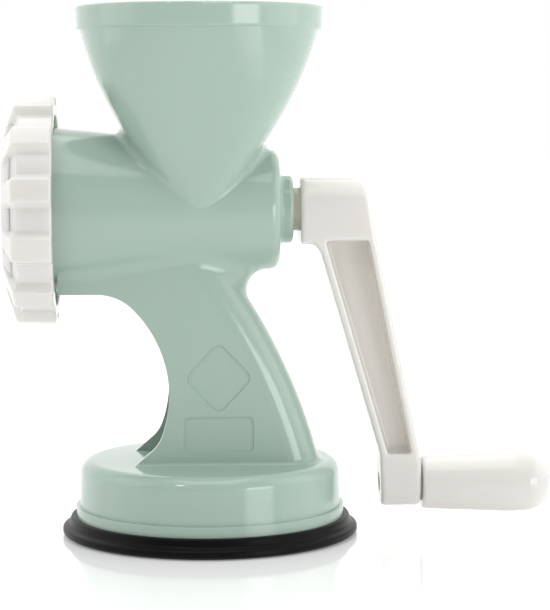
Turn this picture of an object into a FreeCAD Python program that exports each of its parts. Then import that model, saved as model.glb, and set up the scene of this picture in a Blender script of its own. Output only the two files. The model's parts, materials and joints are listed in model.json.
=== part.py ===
"""Manual meat grinder with a suction foot, in millimetres.

Origin: centre of the flat ring that the rubber foot rests on. +Z is up, +X runs along the feed
axis towards the crank, and the plate and its ring nut face -X. Every size stands in the sheet
named "sizes"; pieces that fit one another share those values and the named clearances.
"""
import FreeCAD, Part
import math
import os
import re
import Sketcher
from FreeCAD import Placement, Rotation, Vector

SIZES = (
    # Shared by all pieces
    ("overrun", 1.0, "how far a cutting solid runs past the face it opens"),
    ("root_sink", 0.5, "how deep a rib or pillar is rooted in the wall that carries it"),
    ("blind_gap", 0.5, "room left at the bottom of a blind hole"),
    ("pilot_spare", 1.9, "how much deeper a pilot hole runs than its screw"),
    # Feed axis, hopper and barrel
    ("axis_height", 145.5, "height of the feed axis above the table"),
    ("hopper_centre_x", -3.5, "place of the hopper's axis along the feed axis"),
    ("hopper_lean", 1.8, "how far the funnel has moved forwards by the feed axis"),
    ("hopper_top", 235.7, "top of the hopper's rim"),
    ("rim_radius", 55.1, "outer radius of the rim at its top"),
    ("rim_foot_radius", 54.4, "outer radius of the rim band at its lower edge"),
    ("rim_foot_height", 225.2, "height of the rim band's lower edge"),
    ("rim_round", 1.3, "rounding of the rim's edges"),
    ("bowl_radius", 53.1, "radius of the bowl just under the rim band"),
    ("bowl_top_slope", 0.27, "how fast the bowl narrows under the rim"),
    ("bowl_low_slope", 0.61, "how fast the funnel narrows lower down"),
    ("bowl_knee_height", 184.0, "height where the curved bowl becomes a straight funnel"),
    ("throat_half_depth", 29.4, "half depth of the funnel at the feed axis"),
    ("throat_squareness", 2.2, "how square the funnel's section is at the feed axis; 2 is an ellipse"),
    ("funnel_squareness", 4.0, "the same where the section is squarest"),
    ("squarest_height", 173.4, "height of that section"),
    ("rim_squareness", 2.0, "the same at the rim, where the section is round"),
    ("hopper_wall", 2.8, "wall of the hopper"),
    ("throat_drop", 7.0, "how far the funnel runs on below the feed axis inside the barrel"),
    ("throat_stop", 6.0, "height of the funnel's open end above the feed axis"),
    ("rim_overlap", 4.0, "how far the bowl runs up inside the rim"),
    ("barrel_front_x", -69.0, "front end of the tapered barrel, behind the thread"),
    ("barrel_front_radius", 36.9, "outer radius of the barrel at its front end"),
    ("barrel_back_x", 31.5, "back face of the barrel"),
    ("barrel_back_radius", 26.3, "outer radius of the barrel at its back face"),
    ("barrel_back_round", 4.5, "rounding of the barrel's back edge"),
    ("boss_radius", 15.1, "outer radius of the bearing boss"),
    ("boss_end_x", 37.6, "end face of the bearing boss"),
    ("boss_root_round", 2.2, "hollow rounding at the bearing boss's root"),
    ("boss_end_round", 1.6, "rounding of the bearing boss's end"),
    ("chamber_front_radius", 30.5, "bore at the front of the feed chamber"),
    ("chamber_back_radius", 21.5, "bore at the back of the feed chamber"),
    ("chamber_back_x", 27.0, "back wall of the feed chamber"),
    # Mouth, plate, knife and ring nut
    ("mouth_x", -85.6, "front face of the mouth"),
    ("mouth_core_radius", 40.4, "radius under the mouth's thread"),
    ("mouth_thread_height", 1.7, "how far the thread stands out of the mouth"),
    ("mouth_chamfer", 1.2, "lead-in chamfer of the mouth"),
    ("thread_pitch", 5.0, "advance of the thread per turn"),
    ("thread_turns", 2.3, "turns of the mouth's thread"),
    ("nut_thread_turns", 1.8, "turns of the ring nut's thread"),
    ("ridge_root", 2.3, "width of a thread ridge at its root"),
    ("ridge_crest", 1.2, "width of a thread ridge at its crest"),
    ("ridge_sink", 0.3, "how deep a ridge is rooted in its wall"),
    ("thread_lead", 0.4, "flat left between the mouth's chamfer and its thread"),
    ("thread_sleeve", 1.0, "thickness of the sleeve that carries the nut's thread"),
    ("thread_clearance", 0.45, "radial gap between a crest and the facing root"),
    ("recess_back_x", -72.0, "back of the recess that holds plate and knife"),
    ("plate_radius", 33.0, "radius of the perforated plate"),
    ("plate_fit", 0.3, "radial gap round the plate"),
    ("plate_thickness", 5.0, "thickness of the perforated plate"),
    ("plate_hole_radius", 2.8, "radius of each hole in the plate"),
    ("plate_ring_step", 8.6, "distance from one ring of holes to the next"),
    ("plate_hole_rings", 3, "number of rings of holes"),
    ("plate_ring_start", 1.2, "what each ring of holes stands further out than its steps"),
    ("plate_bore_radius", 4.6, "radius of the plate's centre bore"),
    ("peg_radius", 2.0, "radius of the peg that stops the plate turning"),
    ("peg_length", 12.0, "length of that peg"),
    ("peg_clearance", 0.4, "gap between the peg and the plate's notch"),
    ("knife_radius", 29.5, "radius of the knife's blades"),
    ("knife_thickness", 6.5, "thickness of the knife"),
    ("knife_blades", 4, "number of blades"),
    ("blade_relief", 1.0, "how much lower the blades are than the hub"),
    ("knife_hub_radius", 9.0, "radius of the knife's hub"),
    ("blade_root_width", 11.0, "width of a blade at the hub"),
    ("blade_tip_width", 7.0, "width of a blade at its tip"),
    ("blade_bevel", 2.6, "depth of the ground bevel on a blade's trailing side"),
    ("knife_gap", 0.08, "running gap between knife and plate"),
    ("nut_front_x", -90.0, "front face of the ring nut"),
    ("nut_shoulder_x", -84.8, "where the nut's sloping front meets its rim"),
    ("nut_back_x", -67.6, "back face of the ring nut"),
    ("nut_radius", 50.7, "outer radius of the nut over its lobes"),
    ("nut_face_radius", 35.0, "outer radius of the nut's flat front face"),
    ("nut_opening_radius", 28.5, "radius of the nut's front opening"),
    ("nut_lip", 4.0, "thickness of the nut's front lip"),
    ("nut_lobes", 12, "number of lobes round the nut"),
    ("flute_depth", 3.6, "depth of the flutes between the lobes"),
    ("front_flute_share", 0.6, "a flute's depth on the sloping front, as a share of that at the rim"),
    ("lobe_sink", 3.0, "how far the lobes are rooted inside the flat face"),
    ("lobe_crest_angle", 11.3, "angle that a lobe's crest spans"),
    ("lobe_root_angle", 17.6, "angle that a lobe's root spans"),
    ("lobe_turn", 17.3, "turn of the first lobe from the horizontal"),
    # Feed screw and its bearing
    ("screw_front_x", -73.9, "front end of the feed screw"),
    ("screw_core_front", 9.0, "core radius of the feed screw at its front"),
    ("screw_core_back", 11.5, "core radius of the feed screw at its back"),
    ("screw_clearance", 0.9, "gap between the flight and the chamber's wall"),
    ("flight_pitch", 27.0, "advance of the flight per turn"),
    ("flight_root", 6.0, "thickness of the flight at the core"),
    ("flight_tip", 3.0, "thickness of the flight at its edge"),
    ("flight_setback", 0.1, "how far the flight starts behind the screw's front face"),
    ("flight_sink", 1.0, "how deep the flight is rooted in the core"),
    ("collar_radius", 17.0, "radius of the feed screw's thrust collar"),
    ("collar_length", 3.0, "length of the thrust collar"),
    ("shaft_radius", 9.6, "radius of the drive shaft"),
    ("running_clearance", 0.05, "radial gap of a shaft that turns in a bore"),
    ("seat_clearance", 0.02, "radial gap of a part that is fixed in its seat"),
    ("washer_thickness", 1.2, "thickness of the thrust washer"),
    ("end_play", 0.15, "axial gap on each side of a turning shoulder"),
    ("bush_radius", 12.2, "outer radius of the bearing bush"),
    ("seal_length", 2.6, "length of the shaft seal"),
    ("hub_gap", 3.2, "length of shaft seen between boss and crank"),
    ("drive_side", 12.4, "side of the square drive on the shaft's end"),
    ("drive_length", 16.0, "length of the square drive"),
    ("drive_fit", 0.1, "gap on each side of the square drive"),
    ("spindle_side", 9.0, "side of the steel spindle's square"),
    ("spindle_fit", 0.12, "gap on each side of the spindle's square"),
    ("spindle_tail_radius", 5.2, "radius of the spindle's end in the feed screw"),
    ("spindle_tail", 18.0, "length of that end"),
    ("spindle_nose_radius", 4.4, "radius of the spindle's nose in the plate"),
    ("spindle_nose_reach", 1.0, "how far the nose stands out of the plate"),
    # Crank and grip
    ("hub_radius", 14.9, "radius of the crank's hub"),
    ("hub_crown_x", 66.3, "outer end of the hub at its top"),
    ("arm_outer_top_x", 70.0, "upper end of the arm's straight outer edge"),
    ("arm_outer_top_rise", 8.9, "how far above the axis that end lies"),
    ("arm_knee_x", 45.9, "where the hub's underside turns down into the arm"),
    ("arm_inner_top_x", 49.3, "upper end of the arm's straight inner edge"),
    ("arm_inner_top_drop", 18.0, "how far below the axis that end lies"),
    ("arm_outer_foot_x", 94.0, "outer edge of the arm just above the grip"),
    ("arm_inner_foot_x", 76.2, "inner edge of the arm just above the grip"),
    ("arm_foot_height", 36.0, "height of these two points"),
    ("arm_inner_end_x", 77.2, "inner face of the arm's end boss at its foot"),
    ("arm_end_top_height", 30.0, "upper end of the face that the grip turns against"),
    ("arm_end_x", 94.9, "face of the arm's end boss that the grip turns against"),
    ("crank_radius", 124.4, "distance from the feed axis to the grip's axis"),
    ("arm_end_radius", 10.8, "radius of the arm's end boss"),
    ("arm_flange", 3.6, "width of the arm's two flanges"),
    ("arm_web", 5.0, "thickness of the web between the flanges"),
    ("pocket_top", 132.0, "upper end of the arm's pockets"),
    ("pocket_bottom", 35.6, "lower end of the arm's pockets"),
    ("hub_screw_radius", 3.0, "shank radius of the crank's screw"),
    ("hub_screw_head", 6.0, "head radius of the crank's screw"),
    ("hub_screw_head_height", 3.6, "head height of the crank's screw"),
    ("hub_screw_dome", 1.2, "height of the head's dome"),
    ("hub_screw_crown", 4.4, "radius of the head's flat crown"),
    ("hub_screw_key_radius", 1.9, "radius of the key's hole in the head"),
    ("hub_screw_key_depth", 2.2, "depth of that hole"),
    ("hub_screw_length", 20.0, "shank length of the crank's screw"),
    ("hub_recess_radius", 8.6, "radius of the recess for the crank's screw"),
    ("hub_recess_floor_x", 60.6, "floor of that recess"),
    ("washer_gap", 0.5, "radial gap between washer and recess"),
    ("grip_length", 59.4, "length of the grip"),
    ("grip_neck_radius", 12.0, "radius of the grip at its inner end"),
    ("grip_edge", 1.4, "bevel at the grip's inner end"),
    ("grip_flank_x", 131.5, "end of the grip's straight taper"),
    ("grip_flank_radius", 13.7, "radius at that end"),
    ("grip_belly_radius", 13.9, "largest radius of the grip"),
    ("grip_belly_x", 138.0, "where the grip is thickest"),
    ("grip_shoulder_x", 146.5, "where the grip begins to close in"),
    ("grip_shoulder_radius", 12.9, "radius at that place"),
    ("grip_nose_radius", 8.4, "radius of the grip's end where its dome begins"),
    ("grip_dome", 3.2, "length of the dome at the grip's end"),
    ("grip_crown", 1.0, "length of the dome's flattest part"),
    ("grip_gap", 0.9, "gap that shows the axle's collar beside the arm"),
    ("collar_room", 0.2, "extra radial room round the axle's collar"),
    ("axle_radius", 5.0, "radius of the grip's axle"),
    ("axle_fit", 0.08, "radial gap between axle and grip"),
    ("axle_collar_radius", 7.9, "radius of the axle's collar"),
    ("axle_collar_length", 2.4, "length of the axle's collar"),
    ("axle_head_radius", 6.2, "radius of the axle's snap head"),
    ("axle_head_x", 136.0, "where the snap head begins"),
    ("axle_head_length", 6.0, "length of the snap head"),
    ("axle_head_tip_radius", 4.4, "radius of the snap head's tip"),
    ("snap_room", 2.0, "room beyond the snap head"),
    ("snap_gap", 0.5, "radial room round the snap head"),
    ("axle_slit", 1.6, "width of the slit that lets the snap head spring"),
    ("axle_slit_length", 12.0, "length of the slit before the snap head"),
    ("axle_tail_length", 9.0, "length of the axle inside the arm's end"),
    ("axle_screw_radius", 2.0, "shank radius of the axle's screw"),
    ("axle_screw_length", 18.6, "shank length of the axle's screw"),
    ("axle_screw_head", 4.0, "head radius of the axle's screw"),
    ("axle_screw_head_height", 2.2, "head height of the axle's screw"),
    ("axle_screw_seat_x", 80.0, "seat of that screw's head in the arm's end"),
    # Leg
    ("leg_half_depth", 23.5, "half the depth of the leg"),
    ("leg_wall", 3.0, "wall of the leg"),
    ("leg_corner", 14.0, "rounding of the leg's back corners"),
    ("arch_radius", 54.0, "radius of the arch that opens the leg's front"),
    ("arch_centre_x", -72.2, "centre of the arch along the feed axis"),
    ("arch_centre_height", 65.0, "height of the arch's centre"),
    ("arch_instep", 42.5, "height where the arch starts to flare towards the base"),
    ("arch_instep_round", 16.0, "rounding where that flare starts"),
    ("arch_toe_x", -33.6, "front end of that flare on the base"),
    ("arch_top", 109.6, "height where the arch runs out flat under the barrel"),
    ("arch_shoulder", 22.0, "rounding of the arch into that flat"),
    ("rib_end_x", -66.5, "front end of the leg's walls, which run out as ribs under the barrel"),
    ("leg_back_radius", 254.0, "radius of the leg's long back curve"),
    ("leg_top_x", 20.4, "a point of the back curve, near its top"),
    ("leg_top_height", 101.6, "height of that point"),
    ("leg_foot_x", 45.6, "a point of the back curve, near its foot"),
    ("leg_foot_height", 45.0, "height of that point"),
    ("bowl_fillet", 3.0, "fillet between bowl and barrel"),
    ("neck_fillet", 9.0, "fillet between leg and barrel"),
    ("foot_fillet", 1.5, "fillet between the leg's flat sides and the base"),
    ("foot_flare", 4.2, "fillet between the leg's back and the base"),
    ("diamond_half_width", 15.4, "half width of the blank diamond panel"),
    ("diamond_half_height", 16.3, "half height of the blank diamond panel"),
    ("diamond_height", 72.4, "height of the diamond's centre"),
    ("panel_centre_x", 3.6, "centre of both blank panels"),
    ("plaque_length", 30.7, "length of the blank plaque"),
    ("plaque_width", 15.7, "width of the blank plaque"),
    ("plaque_height", 47.4, "height of the plaque's centre"),
    ("panel_sink", 0.5, "depth of both blank panels"),
    ("diamond_corner", 4.0, "corner radius of the blank diamond panel"),
    ("plaque_corner", 2.7, "corner radius of the blank plaque"),
    # Base and rubber foot
    ("cap_top", 33.6, "top face of the base"),
    ("cap_radius", 58.7, "outer radius of the base at its foot"),
    ("cap_draft", 0.6, "how much narrower the base is at its top"),
    ("cap_round", 5.5, "rounding of the base's top edge"),
    ("base_wall", 3.0, "wall of the base"),
    ("lip_top", 13.1, "joint between base and base plate"),
    ("lip_radius", 60.2, "outer radius of the base plate's lip"),
    ("plate_underside", 7.0, "underside of the base plate"),
    ("base_plate_thickness", 4.0, "thickness of the base plate"),
    ("spigot_height", 16.0, "top of the base plate's spigot inside the base"),
    ("spigot_fit", 0.1, "radial gap round the spigot"),
    ("spigot_taper", 0.2, "how much the spigot narrows towards its top"),
    ("spigot_wall", 2.5, "wall of the spigot"),
    ("base_hole_radius", 12.0, "hole in the base plate for the rubber foot's neck"),
    ("foot_rest_radius", 64.4, "outer radius of the foot's resting ring"),
    ("foot_tip_radius", 66.4, "outer radius of the foot's lip"),
    ("foot_tip_low", 1.4, "lower edge of the foot's lip"),
    ("foot_tip_high", 3.4, "upper edge of the foot's lip"),
    ("foot_ridge_radius", 62.6, "outer radius of the foot's upper ridge"),
    ("foot_ridge_foot", 5.4, "lower end of the upper ridge"),
    ("foot_ridge_top", 8.4, "top of the upper ridge"),
    ("foot_step", 0.9, "width of the step under the upper ridge"),
    ("foot_step_drop", 0.5, "height of that step"),
    ("foot_bead_radius", 50.0, "inner radius of the foot's thick rim"),
    ("membrane", 3.0, "thickness of the foot's membrane"),
    ("vacuum_radius", 34.0, "inner radius of the resting ring"),
    ("vacuum_flat", 12.0, "radius of the flat middle of the drawn-up membrane"),
    ("vacuum_rise", 3.4, "how far the foot's middle is drawn up when locked"),
    ("neck_radius", 10.8, "radius of the foot's neck"),
    ("neck_top", 10.6, "top of the foot's neck"),
    ("base_screw_circle", 47.0, "radius of the circle of base plate screws"),
    ("base_screw_count", 4, "number of base plate screws"),
    ("small_screw_radius", 1.5, "shank radius of the small screws"),
    ("small_head_radius", 2.9, "head radius of the small screws"),
    ("small_head_height", 1.9, "head height of the small screws"),
    ("head_sink", 0.2, "how far a head is sunk below its face"),
    ("base_screw_angle", 45.0, "angle of the first base plate screw"),
    ("base_screw_length", 12.0, "shank length of the base plate screws"),
    ("bearing_screw_length", 14.0, "shank length of the bearing cap's screws"),
    ("pillar_radius", 4.2, "radius of the screw pillars in the base"),
    ("pillar_gap", 0.4, "gap round a pillar beside the spigot"),
    ("through_clearance", 0.25, "radial gap of a screw in its clearance hole"),
    # Lock of the rubber foot
    ("cam_height", 20.0, "height of the cam shaft"),
    ("cam_throw", 2.4, "offset of the eccentric from the cam shaft"),
    ("cam_radius", 5.0, "radius of the eccentric"),
    ("cam_half_width", 4.0, "half the width of the eccentric"),
    ("cam_clearance", 0.3, "gap between eccentric and yoke"),
    ("cam_rest_angle", 45.0, "angle of the eccentric above the horizontal when locked"),
    ("journal_radius", 4.0, "radius of the cam shaft's inner journal"),
    ("cam_shaft_radius", 4.5, "radius of the cam shaft in the base's wall"),
    ("yoke_bar", 2.4, "thickness of the yoke's bars"),
    ("yoke_half_width", 3.4, "half the width of the yoke"),
    ("stud_radius", 4.0, "radius of the lift stud's stem"),
    ("stud_flange_radius", 8.0, "radius of the flange inside the rubber neck"),
    ("stud_flange_low", 6.0, "underside of that flange"),
    ("stud_flange_high", 8.0, "upper side of that flange"),
    ("saddle_near_y", -8.6, "face of the shaft's inner bearing next to the yoke"),
    ("saddle_far_y", -15.6, "far face of the inner bearing"),
    ("saddle_half_length", 11.0, "half length of the inner bearing"),
    ("saddle_screw_x", 7.6, "place of the bearing cap's screws"),
    ("saddle_cap_low", 13.6, "underside of the bearing cap"),
    ("outer_boss_radius", 6.6, "radius of the bearing boss on the base's back"),
    ("outer_boss_inner_y", 48.0, "inner end of that boss"),
    ("outer_boss_y", 60.6, "outer face of that boss"),
    ("lever_gap", 0.3, "gap between that boss and the lever"),
    ("lever_hub_radius", 7.8, "radius of the lever's hub"),
    ("lever_width", 7.0, "width of the lever along the shaft"),
    ("lever_length", 44.0, "length of the lever from its shaft to its tip's centre"),
    ("lever_tip_radius", 5.4, "radius of the lever's tip"),
    ("lever_square", 6.0, "side of the shaft's square in the lever"),
    ("rod_reach", 0.8, "how far the round shaft runs into the lever"),
    ("square_setback", 0.3, "how far the shaft's square ends inside the lever's face"),
    ("lever_screw_length", 9.0, "shank length of the lever's screw"),
    ("lever_head_radius", 4.8, "head radius of the lever's screw"),
)
NAMES = {name for name, _, _ in SIZES}
TOLERANCE = 0.01
FULL_TURN = 360.0

doc = FreeCAD.newDocument("meat_grinder")
sheet = doc.addObject("Spreadsheet::Sheet", "sizes")
for row, (name, number, meaning) in enumerate(SIZES, start=1):
    sheet.set(f"A{row}", meaning)
    sheet.set(f"B{row}", str(number))
    sheet.setAlias(f"B{row}", name)
doc.recompute()
pieces = []


def bound(text):
    """The expression with each size's name pointed at the sheet."""
    def pointed(found):
        return f"sizes.{found[0]}" if found[0] in NAMES else found[0]

    return re.sub(r"[a-z_]+", pointed, str(text))


def value(text):
    """The present number of an expression in the sheet's names."""
    return float(sheet.evalExpression(bound(text)))


def keep(shape_object, label):
    """Name an object as one of the grinder's pieces."""
    shape_object.Label = label
    pieces.append(shape_object)
    return shape_object


def bind(target, **expressions):
    """Tie an object's properties to the sheet; a double underscore stands for a dot."""
    for name, text in expressions.items():
        target.setExpression(name.replace("__", "."), bound(text))
    return target


def new_body(label, x="0", y="0", z="0"):
    """A PartDesign body whose place is tied to the sheet."""
    body = doc.addObject("PartDesign::Body", label)
    return bind(body, Placement__Base__x=x, Placement__Base__y=y, Placement__Base__z=z)


def new_sketch(body, role, name):
    """A sketch on one of the body's own origin planes."""
    sketch = body.newObject("Sketcher::SketchObject", name)
    plane = next(item for item in body.Origin.OriginFeatures if item.Role == role)
    sketch.AttachmentSupport = [(plane, "")]
    sketch.MapMode = "FlatFace"
    return sketch


def fix_point(sketch, line, end, x, y):
    """Hold one end of a line, or a centre, at a place given by two expressions."""
    for kind, text, axis in (("DistanceX", x, -2), ("DistanceY", y, -1)):
        if str(text) == "0":
            sketch.addConstraint(Sketcher.Constraint("PointOnObject", line, end, axis))
        else:
            rule = Sketcher.Constraint(kind, -1, 1, line, end, value(text))
            bind(sketch, **{f"Constraints[{sketch.addConstraint(rule)}]": text})


def draw_polygon(sketch, points):
    """A closed outline whose corners are tied to the sheet."""
    first = sketch.GeometryCount
    places = [Vector(value(x), value(y), 0) for x, y in points]
    for index, place in enumerate(places):
        following = places[(index + 1) % len(places)]
        sketch.addGeometry(Part.LineSegment(place, following), False)
    for index in range(len(points)):
        following = first + (index + 1) % len(points)
        sketch.addConstraint(Sketcher.Constraint("Coincident", first + index, 2, following, 1))
    for index, (x, y) in enumerate(points):
        fix_point(sketch, first + index, 1, x, y)


def draw_circle(sketch, x, y, radius):
    """A circle tied to the sheet."""
    centre = Vector(value(x), value(y), 0)
    index = sketch.addGeometry(Part.Circle(centre, Vector(0, 0, 1), value(radius)), False)
    rule = Sketcher.Constraint("Radius", index, value(radius))
    bind(sketch, **{f"Constraints[{sketch.addConstraint(rule)}]": radius})
    fix_point(sketch, index, 3, x, y)


def turned(label, points, axis="H_Axis", plane="XZ_Plane", **place):
    """A body turned from one outline: (along the feed axis, radius) or (radius, height)."""
    body = new_body(label, **place)
    sketch = new_sketch(body, plane, f"{label}_outline")
    draw_polygon(sketch, points)
    feature = body.newObject("PartDesign::Revolution", f"{label}_turn")
    feature.Profile = sketch
    feature.ReferenceAxis = (sketch, [axis])
    feature.Angle = FULL_TURN
    sketch.Visibility = False
    return body


def wound(body, points, pitch, turns):
    """Add a right-handed helical ridge round the body's X axis, from one outline in its XZ plane."""
    sketch = new_sketch(body, "XZ_Plane", f"{body.Name}_ridge")
    draw_polygon(sketch, points)
    feature = body.newObject("PartDesign::AdditiveHelix", f"{body.Name}_helix")
    feature.Profile = sketch
    feature.ReferenceAxis = (sketch, ["H_Axis"])
    feature.Mode = "pitch-turns-angle"
    sketch.Visibility = False
    return bind(feature, Pitch=pitch, Turns=turns)


def padded(body, sketch, length, symmetric=False, reverse=False):
    """Raise a sketch into a solid."""
    feature = body.newObject("PartDesign::Pad", f"{sketch.Name}_pad")
    feature.Profile = sketch
    feature.SideType = "Symmetric" if symmetric else "One side"
    feature.Reversed = reverse
    return bind(feature, Length=length)


def pocketed(body, sketch, length, symmetric=False, reverse=False):
    """Sink a sketch into a solid."""
    feature = body.newObject("PartDesign::Pocket", f"{sketch.Name}_pocket")
    feature.Profile = sketch
    feature.SideType = "Symmetric" if symmetric else "One side"
    feature.Reversed = reverse
    return bind(feature, Length=length)


def repeated(body, feature, count):
    """Repeat a feature round the body's X axis."""
    pattern = body.newObject("PartDesign::PolarPattern", f"{feature.Name}_ring")
    axis = next(item for item in body.Origin.OriginFeatures if item.Role == "X_Axis")
    pattern.Originals = [feature]
    pattern.Axis = (axis, [""])
    pattern.Angle = FULL_TURN
    bind(pattern, Occurrences=count)
    body.Tip = pattern
    return pattern


def cylinder(name, radius, length, x="0", y="0", z="0", along="Z"):
    """A cylinder that starts at a place and runs along +X, +Y or +Z."""
    item = doc.addObject("Part::Cylinder", name)
    turns = {"X": Rotation(Vector(0, 1, 0), 90), "Y": Rotation(Vector(1, 0, 0), -90), "Z": Rotation()}
    item.Placement = Placement(Vector(), turns[along])
    bind(item, Radius=radius, Height=length)
    return bind(item, Placement__Base__x=x, Placement__Base__y=y, Placement__Base__z=z)


def block(name, low, high):
    """A box between two corners, each three expressions."""
    item = doc.addObject("Part::Box", name)
    bind(item, Placement__Base__x=low[0], Placement__Base__y=low[1], Placement__Base__z=low[2])
    lengths = [f"({top}) - ({bottom})" for bottom, top in zip(low, high)]
    return bind(item, Length=lengths[0], Width=lengths[1], Height=lengths[2])


def joined(name, *items):
    """One solid from several that overlap."""
    item = doc.addObject("Part::MultiFuse", name)
    item.Shapes = list(items)
    item.Refine = False
    return item


def cut(name, solid, *tools):
    """A solid with others taken out of it, one after another."""
    for tool in tools:
        item = doc.addObject("Part::Cut", name)
        item.Base = solid
        item.Tool = tool
        solid = item
    solid.Refine = True
    return solid


def shaped(name, shape):
    """A shape that no feature of the document makes as directly."""
    item = doc.addObject("Part::Feature", name)
    item.Shape = shape
    return item


def rounded(name, solid, radius, wanted):
    """Round the edges that a test picks by their middle point and their bounds."""
    doc.recompute()
    number = value(radius)
    edges = [index for index, edge in enumerate(solid.Shape.Edges, start=1) if wanted(edge)]
    item = doc.addObject("Part::Fillet", name)
    item.Base = solid
    item.Edges = [(index, number, number) for index in edges]
    return item


def flared(name, solid, radius, far_radius, wanted, is_far):
    """Round the edges that a test picks, with the far radius at each end that another test picks."""
    doc.recompute()
    near, far = value(radius), value(far_radius)
    rows = []
    for index, edge in enumerate(solid.Shape.Edges, start=1):
        if wanted(edge):
            ends = [edge.valueAt(place) for place in (edge.FirstParameter, edge.LastParameter)]
            rows.append((index, *(far if is_far(end) else near for end in ends)))
    item = doc.addObject("Part::Fillet", name)
    item.Base = solid
    item.Edges = rows
    return item


def grouped(name, *items):
    """Several like solids kept as one piece."""
    item = doc.addObject("Part::Compound", name)
    item.Links = list(items)
    return item


# Hopper: round at the rim, and a narrow slot with rounded corners at the feed axis

def bowl_half_width(height, inset):
    """Half width of the bowl's section, measured along the feed axis."""
    top, knee = value("rim_foot_height"), value("bowl_knee_height")
    steep, gentle = value("bowl_low_slope"), value("bowl_top_slope")
    fall = top - max(height, knee)
    bend = (steep - gentle) / (top - knee)
    upper = value("bowl_radius") - gentle * fall - bend * fall ** 2 / 2
    return upper - steep * max(knee - height, 0) - inset


def bowl_half_depth(height, inset):
    """Half depth of the bowl's section, measured across the feed axis."""
    if height > value("rim_foot_height"):
        return bowl_half_width(height, inset)
    share = (height - value("axis_height")) / value("rim_foot_height - axis_height")
    narrow = value("throat_half_depth")
    return narrow + (value("bowl_radius") - narrow) * share - inset


def bowl_squareness(height):
    """Exponent of the bowl's section: 2 is an ellipse, and more is squarer."""
    middle, most = value("squarest_height"), value("funnel_squareness")
    if height < middle:
        share = (middle - height) / (middle - value("axis_height"))
        return most + (value("throat_squareness") - most) * min(share, 1)
    share = (height - middle) / (value("rim_foot_height") - middle)
    return most + (value("rim_squareness") - most) * min(share, 1)


def bowl_centre(height):
    """Place of the bowl's section along the feed axis."""
    share = (value("rim_foot_height") - height) / value("rim_foot_height - axis_height")
    return value("hopper_centre_x") - value("hopper_lean") * max(share, 0)


def bowl_section(height, inset):
    """One closed section of the bowl."""
    corners = 24
    power = 2 / bowl_squareness(height)
    places = []
    for corner in range(corners):
        turn = 2 * math.pi * corner / corners
        along, across = (math.copysign(abs(share) ** power, share)
                         for share in (math.cos(turn), math.sin(turn)))
        places.append(Vector(bowl_centre(height) + bowl_half_width(height, inset) * along,
                             bowl_half_depth(height, inset) * across, height))
    curve = Part.BSplineCurve()
    curve.interpolate(Points=places, PeriodicFlag=True)
    return Part.Wire(curve.toShape())


def bowl_solid(inset, low, high):
    """The bowl between two heights."""
    sections = 7
    heights = [low + (high - low) * step / (sections - 1) for step in range(sections)]
    return Part.makeLoft([bowl_section(height, inset) for height in heights], True, False)


bowl = shaped("bowl", bowl_solid(0.0, value("axis_height - throat_drop"),
                                 value("rim_foot_height + rim_overlap")))
bowl_inside = shaped("bowl_inside", bowl_solid(value("hopper_wall"), value("axis_height + throat_stop"),
                                               value("hopper_top + overrun")))
rim_blank = turned("rim_blank", [
    ("bowl_radius - hopper_wall - overrun", "rim_foot_height"),
    ("rim_foot_radius", "rim_foot_height"),
    ("rim_radius", "hopper_top"),
    ("bowl_radius - hopper_wall - overrun", "hopper_top"),
], axis="V_Axis", x="hopper_centre_x")


def rim_edge(edge):
    """One of the rim's two outer edges."""
    box = edge.BoundBox
    return box.ZLength < TOLERANCE and box.XLength > value("2 * rim_foot_radius") - TOLERANCE


rim = rounded("rim", rim_blank, "rim_round", rim_edge)

# Barrel: a tapered tube with a threaded mouth in front and a bearing boss behind

def thread_ridge(middle, root_radius, crest_radius):
    """The section of a thread's ridge, centred at a place along the feed axis."""
    return [
        (f"{middle} - ridge_root / 2", root_radius),
        (f"{middle} - ridge_crest / 2", crest_radius),
        (f"{middle} + ridge_crest / 2", crest_radius),
        (f"{middle} + ridge_root / 2", root_radius),
    ]


barrel_blank = turned("barrel_blank", [
    ("mouth_x", "0"),
    ("mouth_x", "mouth_core_radius - mouth_chamfer"),
    ("mouth_x + mouth_chamfer", "mouth_core_radius"),
    ("barrel_front_x", "mouth_core_radius"),
    ("barrel_front_x", "barrel_front_radius"),
    ("barrel_back_x", "barrel_back_radius"),
    ("barrel_back_x", "boss_radius"),
    ("boss_end_x", "boss_radius"),
    ("boss_end_x", "0"),
], z="axis_height")
thread_start = "mouth_x + mouth_chamfer + thread_lead + ridge_root / 2"
wound(barrel_blank, thread_ridge(thread_start, "mouth_core_radius - ridge_sink",
                                 "mouth_core_radius + mouth_thread_height"), "thread_pitch", "thread_turns")
chamber = turned("chamber", [
    ("mouth_x", "0"),
    ("mouth_x", "plate_radius + plate_fit"),
    ("recess_back_x", "plate_radius + plate_fit"),
    ("recess_back_x", "chamber_front_radius"),
    ("chamber_back_x", "chamber_back_radius"),
    ("chamber_back_x", "bush_radius + seat_clearance"),
    ("boss_end_x", "bush_radius + seat_clearance"),
    ("boss_end_x", "0"),
], z="axis_height")


def back_corner(edge):
    """The barrel's back edge."""
    box = edge.BoundBox
    on_face = abs(box.XMin - value("barrel_back_x")) < TOLERANCE and box.XLength < TOLERANCE
    return on_face and abs(box.ZMax - value("axis_height + barrel_back_radius")) < TOLERANCE


def on_barrel(edge):
    """An edge that lies on the barrel's taper, other than its seam and the ends of the ribs."""
    places = [edge.valueAt(edge.FirstParameter + (edge.LastParameter - edge.FirstParameter) * share)
              for share in (0.25, 0.5, 0.75)]
    front, back = value("barrel_front_x"), value("barrel_back_x")
    wide, narrow = value("barrel_front_radius"), value("barrel_back_radius")
    slack = 5 * TOLERANCE
    for place in places:
        taper = wide + (narrow - wide) * (place.x - front) / (back - front)
        radius = math.hypot(place.y, place.z - value("axis_height"))
        if not front + slack < place.x < back - slack or abs(radius - taper) > slack:
            return False
    return min(edge.BoundBox.XLength, edge.BoundBox.YLength) > TOLERANCE


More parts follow.
